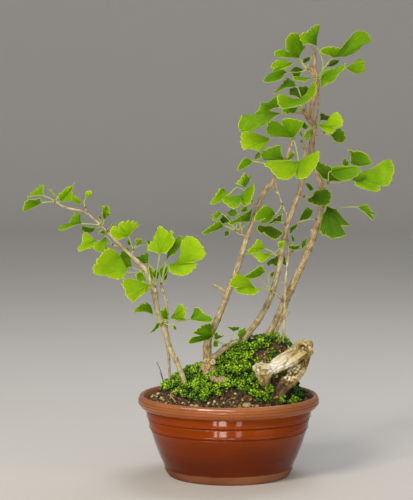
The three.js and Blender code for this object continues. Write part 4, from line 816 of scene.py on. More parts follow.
# River pebbles: pale quartz and buff stone, worn smooth but dull, with fine darker specks.
riverStone, tree, shader = newMaterial("worn river pebble")
where = addNode(tree, "TexCoord", out="Object")
veins = addNode(tree, "TexNoise", {"Vector": where, "Scale": 260, "Detail": 5, "Roughness": 0.6})
shade = addNode(tree, "Math",
    {0: veins, 1: 0.5,
    2: addNode(tree, "Math", {0: addNode(tree, "Attribute", out="Fac", attribute_name="tone"), 1: 0.25},
    operation="SUBTRACT")}, operation="MULTIPLY_ADD")
colour = addNode(tree, "ValToRGB", {0: shade},
    stops=[(0.2, "#5e4527"), (0.5, "#a1834f"), (0.7, "#c9b283"), (1.0, "#ece2cb")])
pitted = addNode(tree, "Bump", {"Strength": 0.4, "Distance": 0.5 * mm, "Height": veins})
setSockets(tree, shader, {"Base Color": colour, "Roughness": 0.65, "Normal": pitted})

for name, pebble in pebbles.items():
    bm = newLayers()
    tone = bm.verts.layers.float["tone"]
    bmesh.ops.create_icosphere(bm, subdivisions=4, radius=pebble["radius"] * mm)
    x, y = pebble["at"]
    centre = Vector((x, y, moundHeight(x, y) + pebble["radius"] * 0.25)) * mm
    matrix = Matrix.LocRotScale(centre, Quaternion((0, 0, 1), pebble["turn"]), Vector((1.1, 0.85, 0.7)))
    for vert in bm.verts:
        vert[tone] = pebble["tone"]
        vert.co *= 0.96 + 0.16 * noise.noise(vert.co * 130 + centre * 900)
    bmesh.ops.transform(bm, matrix=matrix, verts=bm.verts)
    standFor(pieceOf(name + "_stone", bm, [riverStone]), name)

dryRoots = [
    [(160, 401, -6, 2.6), (163, 396, -12, 2.6), (169, 395.3, -26, 2.6), (174, 400, -50, 2.4),
     (178, 407, -72, 2.2)],
    [(168.5, 396.5, -25, 2.6), (174, 391, -24, 2.4), (180, 388, -28, 2.4), (187, 395, -36, 2.2)],
]
grassBlades = [
    [(166, 394, 20, 2), (163.5, 381, 18, 1.8), (161, 371, 15, 1.6), (157, 361.5, 10, 1.2)],
    [(166, 393, 20, 2), (163, 380, 22, 1.6), (160, 371.5, 24, 1.2)],
]

# Dry root: stringy and straw-coloured, with fine dull lines along it.
dryRoot, tree, shader = newMaterial("dry fibrous root")
where = addNode(tree, "Mapping",
    {"Vector": addNode(tree, "Attribute", out="Vector", attribute_name="grain"), "Scale": (700, 700, 90)})
threads = addNode(tree, "TexNoise", {"Vector": where, "Scale": 1, "Detail": 4})
colour = addNode(tree, "ValToRGB", {0: threads},
    stops=[(0.3, "#8c7040"), (0.6, "#c3aa6e"), (0.8, "#ddcc9c")])
setSockets(tree, shader, {"Base Color": colour, "Roughness": 0.8})

# Grass blade: narrow, dull dark green, browner towards the dry tip.
grassGreen, tree, shader = newMaterial("dark grass blade")
height = addNode(tree, "SeparateXYZ", {0: addNode(tree, "Attribute", out="Vector", attribute_name="grain")},
    out="Z")
colour = addNode(tree, "ValToRGB", {0: addNode(tree, "Math", {0: height, 1: 50 * mm}, operation="DIVIDE")},
    stops=[(0.0, "#5b7a26"), (0.5, "#36501c"), (1.0, "#4a4526")])
setSockets(tree, shader, {"Base Color": colour, "Roughness": 0.55})

for name, limbs, material, slot, flat in (("dry_root", dryRoots, dryRoot, "bark", 0.85),
                                          ("grass_tuft", grassBlades, grassGreen, "dark_leaf", 0.4)):
    bm = newLayers()
    for limb in limbs:
        addTube(bm, limbLine(limb, 2), 10, lambda angle, travelled, point: (
            flat + (1 - flat) * abs(math.cos(angle)) + 0.12 * noise.noise(point.xyz * 400), (0, 0)))
    finishSolid(bm)
    standFor(pieceOf(name + "_strands", bm, [material]), name)
print("pebbles, roots and grass are set")

# Stems.

stemRings = {  # rows where a year's growth ended and left a ring of scars
    "stem_left": [358, 343, 322, 312, 291, 283, 262, 246, 230, 218, 211],
    "stem_front": [371, 362, 345, 331, 318, 297, 276, 254, 236, 213, 188, 176, 160, 146],
    "stem_middle": [340, 322, 306, 291, 272, 255, 238, 222, 204, 194, 178, 160, 148],
    "stem_tall": [334, 318, 300, 291, 268, 250, 240, 228, 210, 188, 174, 163, 143, 127, 117, 104, 90, 77,
                  66, 54],
    "stem_thin": [334, 318, 301, 285, 268, 254, 240, 226],
}
bark = {"sides": 16, "step": 2.2, "relief": 0.05, "ring": 0.13, "ringWidth": 1.7, "young": 1.5, "old": 4.5,
        "thick": 7, "smoothStem": 0.3, "brownFrom": 300, "brownOver": 220}
burl = {
    "facing": (0.25, -1, 0.3), "rough": 0.34, "tone": 0.4, "mottle": 0.7, "darkBelowRow": 375,
    "darker": 0.2, "lip": 0.14, "lipAt": 0.75, "pit": 0.5,
    "knobs": [  # column, row, depth, radius in mm and whether a cut twig left an open scar
        (212.8, 362, -22, 4.4, True), (208.6, 366.4, -20, 5.4, False), (204, 366.8, -16, 5.2, False),
        (213, 369.5, -21, 5, False), (206.5, 371.6, -18, 5.4, False), (211, 373.2, -21, 4.6, False),
        (207.2, 360.8, -15, 4.6, False), (213.6, 378.6, -50, 4.2, False), (221.8, 380, -54, 4.6, False),
    ],
}
stems = {  # a row for each limb: column, row, depth and width in mm at each point
    "stem_left": [
        [(188, 398, -28, 7.4), (186, 386, -28, 7.2), (179, 366, -27, 7), (175, 358, -26, 7.4),
         (171, 350, -26, 7.2), (168, 342, -25, 7.6), (166, 333, -24, 8.6), (163, 323, -23, 8.8),
         (160, 317, -22, 8), (156.5, 303, -20, 7.8), (154.7, 291, -18, 9.6), (153, 284, -17, 8.4),
         (149, 275, -14, 6.8), (143, 265, -11, 6.4), (132, 255, -7, 5), (119, 242, -3, 4.2),
         (107, 230, 0, 3.8), (95, 218, 3, 3.2), (86, 211.3, 4, 3), (75, 208.5, 3, 3), (65, 206, 1, 2.8),
         (57, 201, -2, 2.2)],
        [(171, 398, 12, 4), (170, 383, 10, 3.8), (169, 358, -6, 3.6), (167.3, 345, -13, 3.6),
         (166.5, 333, -19, 3.6), (167, 322, -18, 3.6), (167.5, 312, -16, 3.6), (166.5, 303, -16, 3.6),
         (164.5, 293, -15, 3.6), (162, 285, -15, 5)],
        [(88, 212, 4, 3), (86.4, 207.3, 3, 2.4)],
        [(122, 247.5, -4, 3.6), (114.3, 243.9, -6, 2.8)],
        [(132.5, 255.5, -7, 3.4), (133.5, 249.5, -9, 2.8)],
        [(174.5, 357.5, -27, 5), (178, 356.5, -28, 3.4)],
        [(166.8, 300, -16, 2.8), (169, 298.7, -16, 2.2)],
    ],
    "stem_front": [
        [(208, 381, -8, 13), (209.5, 372, -12, 17), (209, 366, -12, 19), (208, 358.5, -9, 13.6),
         (207.5, 349, -8, 12.4), (208, 341, -8, 11.2), (210, 334, -8, 10.4), (213, 329, -8, 9.8),
         (218, 318, -9, 9.2), (225, 300, -10, 9), (232, 282, -12, 8.6), (238, 266, -13, 8),
         (243, 250, -13, 7.6), (247.6, 235, -13, 7), (251, 226, -14, 6.8), (255.3, 213.5, -14, 6.8),
         (258, 206.5, -14, 7), (263, 194.6, -15, 7), (266.5, 187.5, -15, 6.8), (271.4, 183.3, -14, 6.2),
         (276, 176, -14, 5.6), (283, 165, -14, 5.4), (288, 153, -14, 5), (293, 139.5, -14, 4.4)],
        [(209, 368, -10, 14), (208, 381, -8, 13), (208, 392, -8, 12)],
        [(211, 360, -9, 10), (219, 353, -8, 8.6), (226, 347.5, -6, 7.4), (232, 343.5, -3, 6.4),
         (238, 341, 1, 5)],
        [(209, 370, -10, 8), (211, 376, -33, 4), (213.6, 379.6, -46, 8), (217.5, 380, -50, 7.4),
         (223, 380, -53, 10.6), (227.5, 381.3, -55, 5)],
        [(226, 290.5, -11, 5.4), (220, 287.3, -13, 4.8), (214, 284, -15, 4.4)],
        [(257, 206, -14, 5), (254, 203, -15, 5), (251.3, 199.8, -17, 4)],
        [(247, 235.5, -13, 3), (242, 234, -15, 2.8), (238.4, 232.8, -16, 2.6), (236, 230, -17, 2.4)],
        [(242.6, 234, -15, 2.2), (241.8, 228, -15, 4.6), (239.6, 221, -15, 2)],
        [(275, 180, -14, 3), (277, 187, -15, 2.2), (278.5, 192, -16, 2), (281, 200, -18, 2),
         (283, 205, -20, 2), (285, 210, -22, 2.4)],
        [(274, 182, -14, 2.2), (273.3, 187.5, -15, 1.8), (275.5, 191, -16, 1.8), (278.6, 193, -16.3, 2)],
    ],
    "stem_middle": [
        [(242, 352, 10, 11), (245, 338, 10, 10), (250, 331, 10, 9.4), (257, 322, 9, 9), (263, 312, 9, 8.8),
         (268.5, 302, 8, 8.6), (272.5, 291.5, 7, 8.8), (275, 283, 7, 8), (278, 272, 6, 7.8),
         (280.5, 261, 6, 7.6), (282, 250, 6, 7.2), (284, 238, 5, 7), (286.2, 227, 5, 7), (288.3, 221, 5, 7),
         (291, 214, 5, 6.6), (295, 203, 5, 6.6), (299, 192, 4, 6.2), (302, 180, 4, 6), (304, 163, 4, 5.4),
         (304.8, 150, 4, 5), (301.5, 142.5, 3, 3.4)],
        [(280.5, 256, 6, 5), (278.8, 255.3, 3, 4.4)],
        [(286.8, 223.5, 5, 5), (285.6, 223.4, 1.5, 4)],
        [(299, 196.5, 4, 4), (303, 196, 3, 2.8)],
    ],
    "stem_tall": [
        [(267, 346, 18, 10), (269, 334, 18, 9), (275, 322, 18, 8.6), (281, 309, 19, 9),
         (285, 300, 19, 10.4), (290, 291, 20, 11.4), (297, 275, 20, 10.2), (303, 262, 21, 10),
         (308, 250, 21, 9.8), (312, 240, 22, 9.6), (315.3, 230, 22, 9), (318, 222, 22, 7.6),
         (320, 212, 22, 7.2), (321.5, 200, 21, 7), (321.5, 188, 20, 7), (317.5, 174, 19, 7.2),
         (313, 164, 18, 7.6), (311, 152, 17, 8.6), (311.5, 142, 17, 8.2), (313, 133, 17, 6.4),
         (314, 126, 16, 7), (311, 119, 16, 6.6), (311, 110, 15, 7), (313, 100, 14, 6.6), (316, 91, 13, 6.2),
         (317, 84, 13, 6), (316, 77, 12, 6.4), (314, 69, 11, 4.6), (314, 60, 11, 4.2), (313.2, 50, 10, 4)],
        [(274, 346, 19, 8), (275, 334, 19, 6.4), (280, 322, 19, 6), (285, 308, 20, 6.6), (289, 296, 20, 7)],
        [(285, 303, 16, 4), (281, 297.5, 6, 3.6), (277, 293, -1, 3.4), (272, 290.5, -3, 3.4)],
        [(314, 234, 22, 7), (311.5, 228, 21, 6.4)],
        [(314.5, 127, 16, 3), (316, 118, 17, 2.8), (318, 106, 17, 2.8), (318.3, 98, 16, 2.8),
         (316.8, 89, 13, 3)],
        [(312, 124, 16, 7), (307, 116, 11, 7), (301.8, 108.3, 5, 6.4)],
        [(308, 116, 11, 4), (310, 110, 8, 2), (309.3, 105, 6, 1.6)],
        [(305, 114, 8, 4), (305.7, 108.5, 3, 1.8), (304.7, 103.8, 0, 1.5)],
        [(303.5, 111, 6, 4), (299, 107.5, 1, 1.8), (296.5, 103.8, -3, 1.5)],
        [(303, 113, 7, 4), (297.5, 113, 3, 1.8), (293.7, 111.6, 0, 1.5)],
        [(315.5, 78, 12, 5), (311, 73.5, 9, 4.6), (307.8, 70.5, 6, 4)],
        [(314, 75.5, 11, 5), (309.8, 65.5, 8, 3.4)],
        [(313.3, 52, 10, 3.6), (310.8, 46.8, 9, 3)],
        [(315, 134.5, 17, 4), (322.6, 132.3, 15, 2.8)],
        [(321.5, 188, 20, 6), (324.5, 185, 18, 6.4), (327, 182.2, 15, 5)],
    ],
    "stem_thin": [
        [(283, 347, 8, 4), (284, 335, 8, 3.6), (284.6, 318, 7.5, 3.6), (285, 305, 7, 3.6),
         (285.7, 285, 8, 3.6), (287, 267, 10, 3.4), (288.5, 254, 11, 3.4), (288.2, 240, 13, 3),
         (287.2, 228, 15, 2.8), (286.7, 219, 15, 2.6), (286.5, 211.5, 15, 3)],
        [(284.8, 317, 7.5, 2.6), (291, 311, 7, 2)],
        [(285, 313, 7, 2.4), (288, 307, 6, 2)],
        [(288.5, 255, 11, 3), (291.6, 250.9, 9, 2.4)],
        [(285.8, 284.5, 8, 2.6), (280.8, 280, 8, 2.2)],
    ],
}

# Young ginkgo bark: buff and slightly corky, in fine lengthwise furrows, darker on the old wood,
# with brown rings of bud scars and pale dots of lenticels; wholly dull.
buffBark, tree, shader = newMaterial("buff ginkgo bark")
grainAt = addNode(tree, "Attribute", out="Vector", attribute_name="grain")
age = addNode(tree, "Attribute", out="Fac", attribute_name="age")
furrowAt = addNode(tree, "Mapping", {"Vector": grainAt, "Scale": (820, 820, 110)})
furrows = addNode(tree, "TexNoise", {"Vector": furrowAt, "Scale": 1, "Detail": 6, "Roughness": 0.68})
blotches = addNode(tree, "TexNoise", {"Vector": grainAt, "Scale": 110, "Detail": 4, "Roughness": 0.6})
lenticels = addNode(tree, "TexVoronoi", {"Vector": grainAt, "Scale": 260})
young = addNode(tree, "ValToRGB", {0: furrows},
    stops=[(0.36, "#978961"), (0.5, "#c4b78e"), (0.64, "#ece2c6")])
old = addNode(tree, "ValToRGB", {0: furrows},
    stops=[(0.36, "#6c5c36"), (0.5, "#a99669"), (0.64, "#dccfa8")])
colour = addNode(tree, "Mix", {0: age, 6: young, 7: old}, 2, data_type="RGBA")
upper = addNode(tree, "Attribute", out="Fac", attribute_name="margin")
colour = layOver(tree, colour, linear("#ae845a"), upper, 0.5)
cloud = addNode(tree, "ValToRGB", {0: blotches}, stops=[(0.38, "#9a8c70"), (0.6, "#ffffff")])
colour = addNode(tree, "Mix", {0: 0.4, 6: colour, 7: cloud}, 2, data_type="RGBA", blend_type="MULTIPLY")
scars = addNode(tree, "Attribute", out="Fac", attribute_name="scarsAndShade")
colour = layOver(tree, colour, linear("#7c5628"), scars, 0.75)
dots = addNode(tree, "Math", {0: lenticels, 1: 0.13}, operation="LESS_THAN")
colour = layOver(tree, colour, linear("#e2d8b8"), dots, 0.4)
knot = addNode(tree, "Attribute", out="Fac", attribute_name="tone")
healed = addNode(tree, "ValToRGB", {0: knot},
    stops=[(0.2, "#7c6640"), (0.5, "#b39a68"), (0.72, "#dcc492"), (1.0, "#f4e2b8")])
swollen = addNode(tree, "Math", {0: knot, 1: 1.4}, operation="MULTIPLY", use_clamp=True)
colour = addNode(tree, "Mix", {0: swollen, 6: colour, 7: healed}, 2, data_type="RGBA")
skin = addNode(tree, "Bump", {"Strength": 0.7, "Distance": 0.6 * mm, "Height": furrows})
setSockets(tree, shader, {"Base Color": colour, "Roughness": 0.82, "Normal": skin})

for name, limbs in stems.items():
    heights = [(elevation["groundRow"] - row) * elevation["step"] * mm for row in stemRings[name]]

    def barkShape(angle, travelled, point):
        ring = min(1, sum(bell(point.z, z, bark["ringWidth"] * mm) for z in heights))
        turn = Vector((math.cos(angle) * 1.6, math.sin(angle) * 1.6, travelled / (10 * mm)))
        bumps = noise.noise(turn + point.xyz * 3) * (1 + 1.4 * (point.w > bark["thick"] * mm))
        age = min(1, max(0, (point.w / mm - bark["young"]) / bark["old"]))
        age *= bark["smoothStem"] if name == "stem_left" else 1
        return 1 + bark["relief"] * bumps + bark["ring"] * ring, (ring * 0.8, age)

    bm = newLayers()
    for limb in limbs:
        addTube(bm, limbLine(limb, bark["step"]), bark["sides"], barkShape)
    if name == "stem_front":
        facing = Vector(burl["facing"]).normalized()
        for column, row, depth, radius, scarred in burl["knobs"]:
            knob = newLayers()
            layers = knob.verts.layers
            centre = place(column, row, depth)
            bmesh.ops.create_icosphere(knob, subdivisions=4, radius=1)
            for vert in knob.verts:
                turned = math.acos(max(-1, min(1, vert.co.dot(facing))))
                size = 1 + burl["rough"] * noise.fractal(vert.co * 2.2 + centre * 500, 0.7, 2.2, 4)
                bright = (burl["tone"] + burl["mottle"] * noise.noise(vert.co * 1.6 + centre * 900)
                          - burl["darker"] * (row > burl["darkBelowRow"]))
                if scarred:
                    size += burl["lip"] * bell(turned, burl["lipAt"], 0.2)
                    size -= burl["pit"] * bell(turned, 0, 0.4)
                    bright = 0.85 * bell(turned, burl["lipAt"], 0.35) + 0.45 * bell(turned, 0, 0.3)
                vert[layers.float["tone"]] = max(0, bright)
                vert[layers.float["age"]] = 1
                vert[layers.float_vector["grain"]] = vert.co * radius * mm
                vert.co = centre + vert.co * size * radius * mm
            joinInto(bm, knob, 0)
    finishSolid(bm)
    brown = bm.verts.layers.float["margin"]
    for vert in bm.verts:
        rise = (vert.co.z / mm - bark["brownFrom"]) / bark["brownOver"]
        vert[brown] = min(1, max(0, rise)) * (name != "stem_left")
    standFor(pieceOf(name + "_bark", bm, [buffBark]), name)
print("stems are grown")

# Sprays of leaves, tone 0 dark to 1 bright: partly each leaf's own green, partly painted shade on leaves
# that lie in shade and painted light on lit ones. The depths are those of its foot, of one end of the rim,
# of the middle and of the other end, in mm from the bud.

blade = {
    "thick": 0.4, "wedge": 0.35, "bow": 0.07, "step": 1.25, "rowStep": 3.0, "margin": 1.0, "start": 0.03,
    "wave": 0.03, "waves": (1.2, 2.4), "least": 0.0015, "lobe": 2.9, "lobeEvery": 7.2, "lobeTop": 0.62,
    "ragged": 1.7, "veinEvery": 2.6, "corner": 5.5, "round": 5, "blunt": 1.3, "shortest": 6, "seed": 23,
    "turnedOut": 1.5,  # how far leaves turn out of the plane of their stem
}
stalk = {"thick": 0.74, "thin": 0.75, "smallLeaf": 14, "foot": 1.25, "neck": 1.1, "tip": 0.3, "under": 6,
         "sides": 8, "step": 3}
spur = {"long": 2.1, "ring": 0.12, "rings": 11, "slim": 0.78, "tall": 1.15}
sprays = {  # its bud, then a row for each leaf: tone, foot, depths, the bends of its stalk, its rim
    "spray_left_tip": ((56.2, 200.8, -2), [
        (0.6, (46, 195.5), (0, 14, 12, 2), [(52, 197.6, 0)], [(45.5, 183.5), (41, 185.5), (35, 190),
         (31, 193.5), (28.5, 197.3)]),
        (0.45, (43.5, 201.6), (-3, -12, -14, -6), [(50, 201, -2)], [(42, 197.3), (36, 198), (28.5, 199),
         (25, 204), (24, 211)]),
        (0.6, (60.5, 201), (-1, -8, -12, -4), [], [(58.5, 196.5), (61, 192.5), (65, 189), (69.5, 185.8),
         (73, 185.5), (75, 182), (73.4, 189), (73.3, 195), (73, 200.2)]),
        (0.6, (58.5, 196.2), (0, 4, 5, 6), [], [(52, 188.2), (50.4, 188.6), (51, 190.4)]),
    ]),
    "spray_left_outer": ((86.2, 206.3, 3), [
        (0.6, (84.5, 201.8), (3, 8, 14, 10), [], [(81, 203.9), (77, 203.5), (74, 200.5), (73, 197),
         (74.6, 194.4), (79, 196.2)]),
        (0.75, (85.6, 199.5), (-2, -6, -8, -2), [(85, 202, -1)], [(86.4, 190.5), (88.8, 189.8), (92, 191),
         (92.9, 193.5), (91.8, 196)]),
    ]),
    "spray_left_fork": ((101, 224, -1), [
        (0.45, (82.5, 222.7), (0, 10, 0, -10), [(91, 223, 0)], [(82, 214), (80, 212.2), (76.5, 212.5),
         (73, 216.5), (70.4, 221.5), (73, 222.6), (66, 223.3), (61, 225.6), (60, 228.7), (63, 230.6),
         (72, 226.6)]),
        (0.15, (98, 226.8), (5, 13, 15, 11), [(99.6, 226.4, 0)], [(88, 225), (81.3, 224.6), (84, 229.5),
         (89.5, 231.6), (94.5, 230)]),
        (0.45, (104.8, 219.2), (0, -6, -10, -4), [(104, 223, 0)], [(101.4, 211.5), (103.6, 213),
         (103.4, 205), (106, 205.8), (108, 204), (110.6, 209), (109.5, 211.4), (113, 212.8), (108.5, 215)]),
        (0.3, (101.5, 220.4), (3, 5, 8, 6), [], [(98.6, 217.2), (100, 214.2), (101.6, 216.5),
         (103, 217.5)]),
    ]),
    "spray_left_pair": ((113.4, 243.5, -6), [
        (0.75, (98, 239.8), (-4, 2, -14, -12), [(107, 241.8, -4)], [(86.5, 230.3), (83, 234), (83, 240),
         (80.5, 244.8), (78, 248), (80, 250.7), (86, 249), (94, 246.5)]),
        (0.6, (106.6, 234.8), (-6, -14, -18, -8), [(110, 238.3, -4)], [(101, 239.4), (95.5, 243),
         (94, 247.5), (96.5, 250.2), (101, 250.9), (105.5, 248.7), (106.9, 243)]),
    ]),
    "spray_left_node": ((107.6, 230, -3), [
        (0.45, (106.2, 230.6), (-1, -4, -6, -2), [], [(103.5, 228.8), (100.3, 230.5), (98.8, 233.2),
         (102, 232.8), (105.5, 233.8)]),
        (0.6, (108.6, 228.4), (0, 4, 5, 6), [], [(112.8, 222.8), (114, 222.2), (114.6, 223.8)]),
    ]),
    "spray_left_crown": ((133.7, 248.3, -9), [
        (0.75, (129.5, 236.3), (-3, 4, -10, -14), [(131.3, 242, -2)], [(141, 223.3), (136.5, 221.3),
         (130.5, 220.3), (124, 220.8), (118.5, 222.8), (120, 227.3), (115, 224.8), (111, 229.5),
         (110.8, 233), (114.5, 237), (120.5, 239.1)]),
        (0.6, (136, 244.8), (-2, -8, -6, 2), [], [(136, 239), (137.5, 237), (139.6, 238.6), (141.6, 238),
         (143.4, 240.2), (142, 242.8)]),
        (0.3, (132.8, 246), (2, 4, 8, 6), [], [(128, 244), (127.5, 240.5), (129, 238), (132, 242.5)]),
        (0.3, (148.3, 243.6), (6, 12, 14, 12), [(140.5, 244.8, 2)], [(145.3, 240.2), (149.5, 239.5),
         (153, 244.5)]),
    ]),
    "spray_left_elbow": ((144.2, 270.4, -14), [
        (0.75, (129, 271.5), (-6, 4, -18, -12), [(136.5, 271.5, -3)], [(122, 259), (118.3, 253),
         (114, 247.6), (109, 247.5), (104, 251.5), (99.5, 256.5), (96.5, 262), (93.4, 265.6), (93.2, 270.3),
         (96, 273.8), (104, 274), (112, 276.8), (118.5, 278.7), (124.7, 277.5)]),
        (0.3, (133.7, 266.8), (12, 20, 26, 20), [(140, 269.2, 6)], [(131.5, 254), (130, 249), (128.3, 246),
         (124, 249.5), (120.3, 254.5), (121.5, 263), (126.5, 269.6)]),
        (0.45, (144, 272.6), (-3, -6, -8, -5), [], [(147, 277.6), (145, 280.8), (139, 280.5),
         (136.2, 277.4), (137, 273), (140, 270.4)]),
    ]),
    "spray_left_trunk": ((155.4, 285.4, -21), [
        (0.75, (151.3, 284.3), (-4, -10, -28, -14), [], [(136, 280.6), (128, 278.3), (123.3, 278.6),
         (122, 284), (124.8, 290), (127.5, 296), (130.2, 297.8), (133.4, 301.6), (137, 297.8), (143, 291.3),
         (146, 292.3), (149.7, 289.5)]),
        (0.6, (151.8, 283.6), (-5, -20, -14, -6), [], [(149, 274), (147.6, 265.5), (149.8, 265.3),
         (151.8, 272)]),
        (0.3, (149.8, 263.6), (19, 27, 29, 23), [(157, 278, 10), (154.2, 269, 18)], [(149.6, 254.5),
         (148, 252.3), (144, 253.8), (136.6, 257), (140, 260.8), (144.5, 263.4)]),
        (0.75, (160, 254.8), (-8, -2, -14, -20), [(156.6, 275, -4), (158.6, 263, -7)], [(147, 249.6),
         (150, 242.5), (153.5, 238), (156.4, 230.5), (158, 226), (160, 224.5), (165, 228), (169.4, 231.6),
         (171.3, 229.6), (173.5, 230), (172.7, 234), (175, 239), (171, 246.5), (166, 252.5)]),
    ]),
    "spray_left_shoot": ((161.6, 282.8, -15), [
        (0.45, (166, 261.6), (-2, 6, 0, -6), [(163.5, 272, 0)], [(170.5, 246.5), (175, 239.6), (178, 235.5),
         (180.5, 234.2), (182.8, 236.6), (181, 243), (174.5, 253.5)]),
        (0.75, (166.4, 264.4), (-3, -6, -22, -14), [(163.5, 275, -2)], [(173.6, 263.3), (179, 259.6),
         (182, 253), (181.8, 246), (182.7, 239.5), (184.5, 236.2), (188.2, 234.4), (195.5, 237.3),
         (201, 242.3), (204.5, 247.7), (206, 254), (203.5, 257.8), (199, 259.2), (189.3, 261.2),
         (193.8, 261.8), (197.4, 263.4), (193.6, 269.5), (189, 273.6), (184, 275), (175.5, 274),
         (169, 271)]),
        (0.3, (158.6, 279.4), (-1, -3, -2, 0), [], [(153.5, 277), (152.3, 271), (156, 268.4),
         (160, 271.5)]),
        (0.3, (161.5, 279), (2, 4, 6, 4), [], [(159, 271), (161.8, 265.6), (165.6, 264.3), (168, 268.5),
         (165.5, 274)]),
        (0.15, (163.3, 281), (-2, -8, -8, -4), [], [(164.3, 276), (168.3, 270.5), (167, 277.5)]),
    ]),
    "spray_left_low": ((163.2, 322, -29), [
        (0.45, (153, 313.8), (0, 6, -6, -10), [(157.8, 317, 0)], [(150.7, 306), (149, 302.3), (146, 301.8),
         (141, 304.5), (137, 307), (134, 310.4), (136, 311.8), (143.5, 311.4)]),
        (0.3, (161, 322.4), (0, -4, -10, -6), [], [(157, 321.5), (154.5, 327), (151, 331), (147.2, 334.8),
         (153, 331.6), (159, 327.3)]),
        (0.45, (168.3, 319.3), (0, -4, -8, -2), [], [(167.8, 311.5), (165.6, 307), (163, 308.3),
         (160.3, 310.6), (161, 314.5), (163.5, 318.3)]),
        (0.6, (170.5, 317.6), (0, -8, -14, -6), [], [(175, 312.2), (177.5, 306.5), (180.5, 303.3),
         (184, 306.3), (186.5, 307), (184.8, 311), (186, 313.6), (184.4, 316), (185.8, 318.3), (183, 319.9),
         (176.5, 320)]),
        (0.45, (190.3, 318.8), (-4, 6, -6, -14), [(170, 324.5, 0), (178, 320.9, -2)], [(193.8, 312.5),
         (194.8, 307.6), (196.3, 305.8), (200, 308), (204, 312.6), (212.4, 317.7), (212, 321.6),
         (203, 321.8)]),
        (0.3, (173, 325.6), (0, 2, 0, -2), [], [(174.6, 324), (176.3, 327), (176, 330), (173.8, 328.5)]),
    ]),
    "spray_foot": ((226, 344.9, -9), [
        (0.3, (213.6, 336.6), (-10, -12, -26, -18), [(220, 342, -6)], [(212.6, 322.6), (206, 323.5),
         (200.5, 326), (196, 329.8), (193.2, 332.5), (200.5, 334.8), (192, 336.8), (188, 342), (192, 343.2),
         (199, 339.3), (203.5, 337), (207.5, 340.6)]),
        (0.3, (214.2, 338.8), (-9, -11, -14, -8), [], [(213.7, 333.5), (217, 331.6), (221, 335.3),
         (225.3, 334.3), (218.8, 338.6)]),
        (0.15, (214.6, 340), (-9, -10, -14, -10), [], [(213.3, 343.5), (215, 348), (218.6, 345),
         (217.6, 341)]),
        (0, (234, 331.4), (4, 8, 10, 6), [(229.5, 340, 1)], [(230, 328.7), (227, 326.6), (233, 326.2),
         (240.5, 326.8), (237.8, 330)]),
        (0.3, (239, 338.8), (4, 6, 10, 8), [(233, 343, 2)], [(236.3, 334.5), (239, 331), (242.5, 328),
         (245, 327), (246, 330.5), (243, 335.5)]),
    ]),
    "spray_top_left": ((307, 69.7, 5.5), [
        (0.45, (299, 58.5), (-2, 4, -12, -14), [(303.5, 65.5, 0)], [(305, 47.6), (301.6, 44.5), (300, 37),
         (294, 33.7), (288.3, 35.5), (284.9, 40.6), (285, 48.5), (287, 52), (280.5, 50), (275.5, 51.8),
         (274, 54.6), (277, 57.8), (284, 58.3)]),
        (0.6, (298.4, 61), (0, -6, -14, -10), [(303, 66.5, 1)], [(290.5, 64), (284, 61.3), (278, 60),
         (274, 62), (270.2, 67.4), (273, 68.5), (272, 71.5), (279, 70.3), (288, 68)]),
        (0.3, (288, 72.5), (4, 8, 2, -4), [(298, 72.5, 4)], [(283, 69.6), (275, 71), (269.5, 74),
         (265.8, 76.3), (262.8, 82), (267, 83), (275, 82), (282, 78.8)]),
        (0.15, (304.6, 71), (4, 10, 8, 4), [], [(300, 68.5), (294.5, 67), (290.6, 69.3), (291, 74.5),
         (294, 77.2), (299, 77)]),
        (0, (310.8, 57.2), (4, 8, 8, 6), [(308, 63, 3)], [(307.5, 57.5), (303.3, 60), (302, 62.6),
         (306.5, 62.2), (310.3, 60)]),
    ]),
    "spray_top_right": ((317.5, 78, 7.2), [
        (0.45, (315.6, 47), (-8, -4, -10, -18), [(322, 69, -3), (321, 59, -5), (318.5, 52, -7)], [(315, 40),
         (316.5, 33), (319, 26.8), (318, 24.8), (314, 27), (310.5, 28.5), (307, 32.3), (303, 33.5),
         (298.5, 37), (300.5, 42), (303, 44.8), (309, 45)]),
        (0.45, (331, 58.7), (-6, -16, -12, -4), [(321.5, 71, -4), (326, 64.5, -5)], [(321.5, 55),
         (319.5, 50.2), (324, 47.6), (332, 47.2), (338.8, 48.5), (346, 41), (352.3, 33.4), (358, 32),
         (363.2, 32.3), (367, 36), (369.8, 41), (362, 44.2), (359, 48.5), (353, 53.5), (345, 57.3)]),
        (0, (324.5, 67.4), (2, 8, 12, 10), [(321, 72, 0)], [(328, 62), (333, 60), (338.6, 60.9),
         (335, 64.8), (330, 67)]),
        (0.6, (343.5, 68.5), (-4, 4, 6, 0), [(328, 76, -1)], [(352, 63.5), (356.8, 59.8), (359.9, 59),
         (362, 61.8), (363.2, 65.7), (364.4, 69.8), (362.8, 72.2), (359.8, 72.9), (358.1, 73),
         (358.6, 74.7), (356.4, 75.2), (350, 72.4)]),
        (0.45, (318.6, 79), (-2, -8, -16, -6), [], [(323, 70.3), (330, 68.8), (337, 67.3), (341, 63.8),
         (343.8, 62.2), (342.6, 69.5), (337, 74.5), (335, 79), (332, 81.6), (327, 84), (322, 87.5),
         (319.8, 84)]),
        (0.45, (314, 79), (-2, -4, -8, -12), [], [(304, 79), (297, 77.3), (291, 76.2), (292.5, 78.8),
         (298, 81.3), (305, 82)]),
    ]),
    "spray_old_spur": ((302.6, 109.6, 0.6), [
        (0.3, (296, 86.4), (8, 14, 12, 6), [(301, 99, 6)], [(295, 81.8), (290.5, 80.2), (287.5, 78.3),
         (284.5, 80.5), (280, 86), (272, 94.6), (277, 93), (284, 89.2)]),
        (0.6, (301, 98.6), (-6, -4, -28, -16), [], [(307.5, 88), (311, 82.8), (314.4, 81.5), (315.7, 88),
         (314.8, 94.5), (311, 99), (305, 103.5), (300, 105), (293, 106), (287, 107.8), (282.5, 108.3),
         (279, 106.5), (277.6, 101), (278, 95.3), (281, 93.6), (288, 96.3)]),
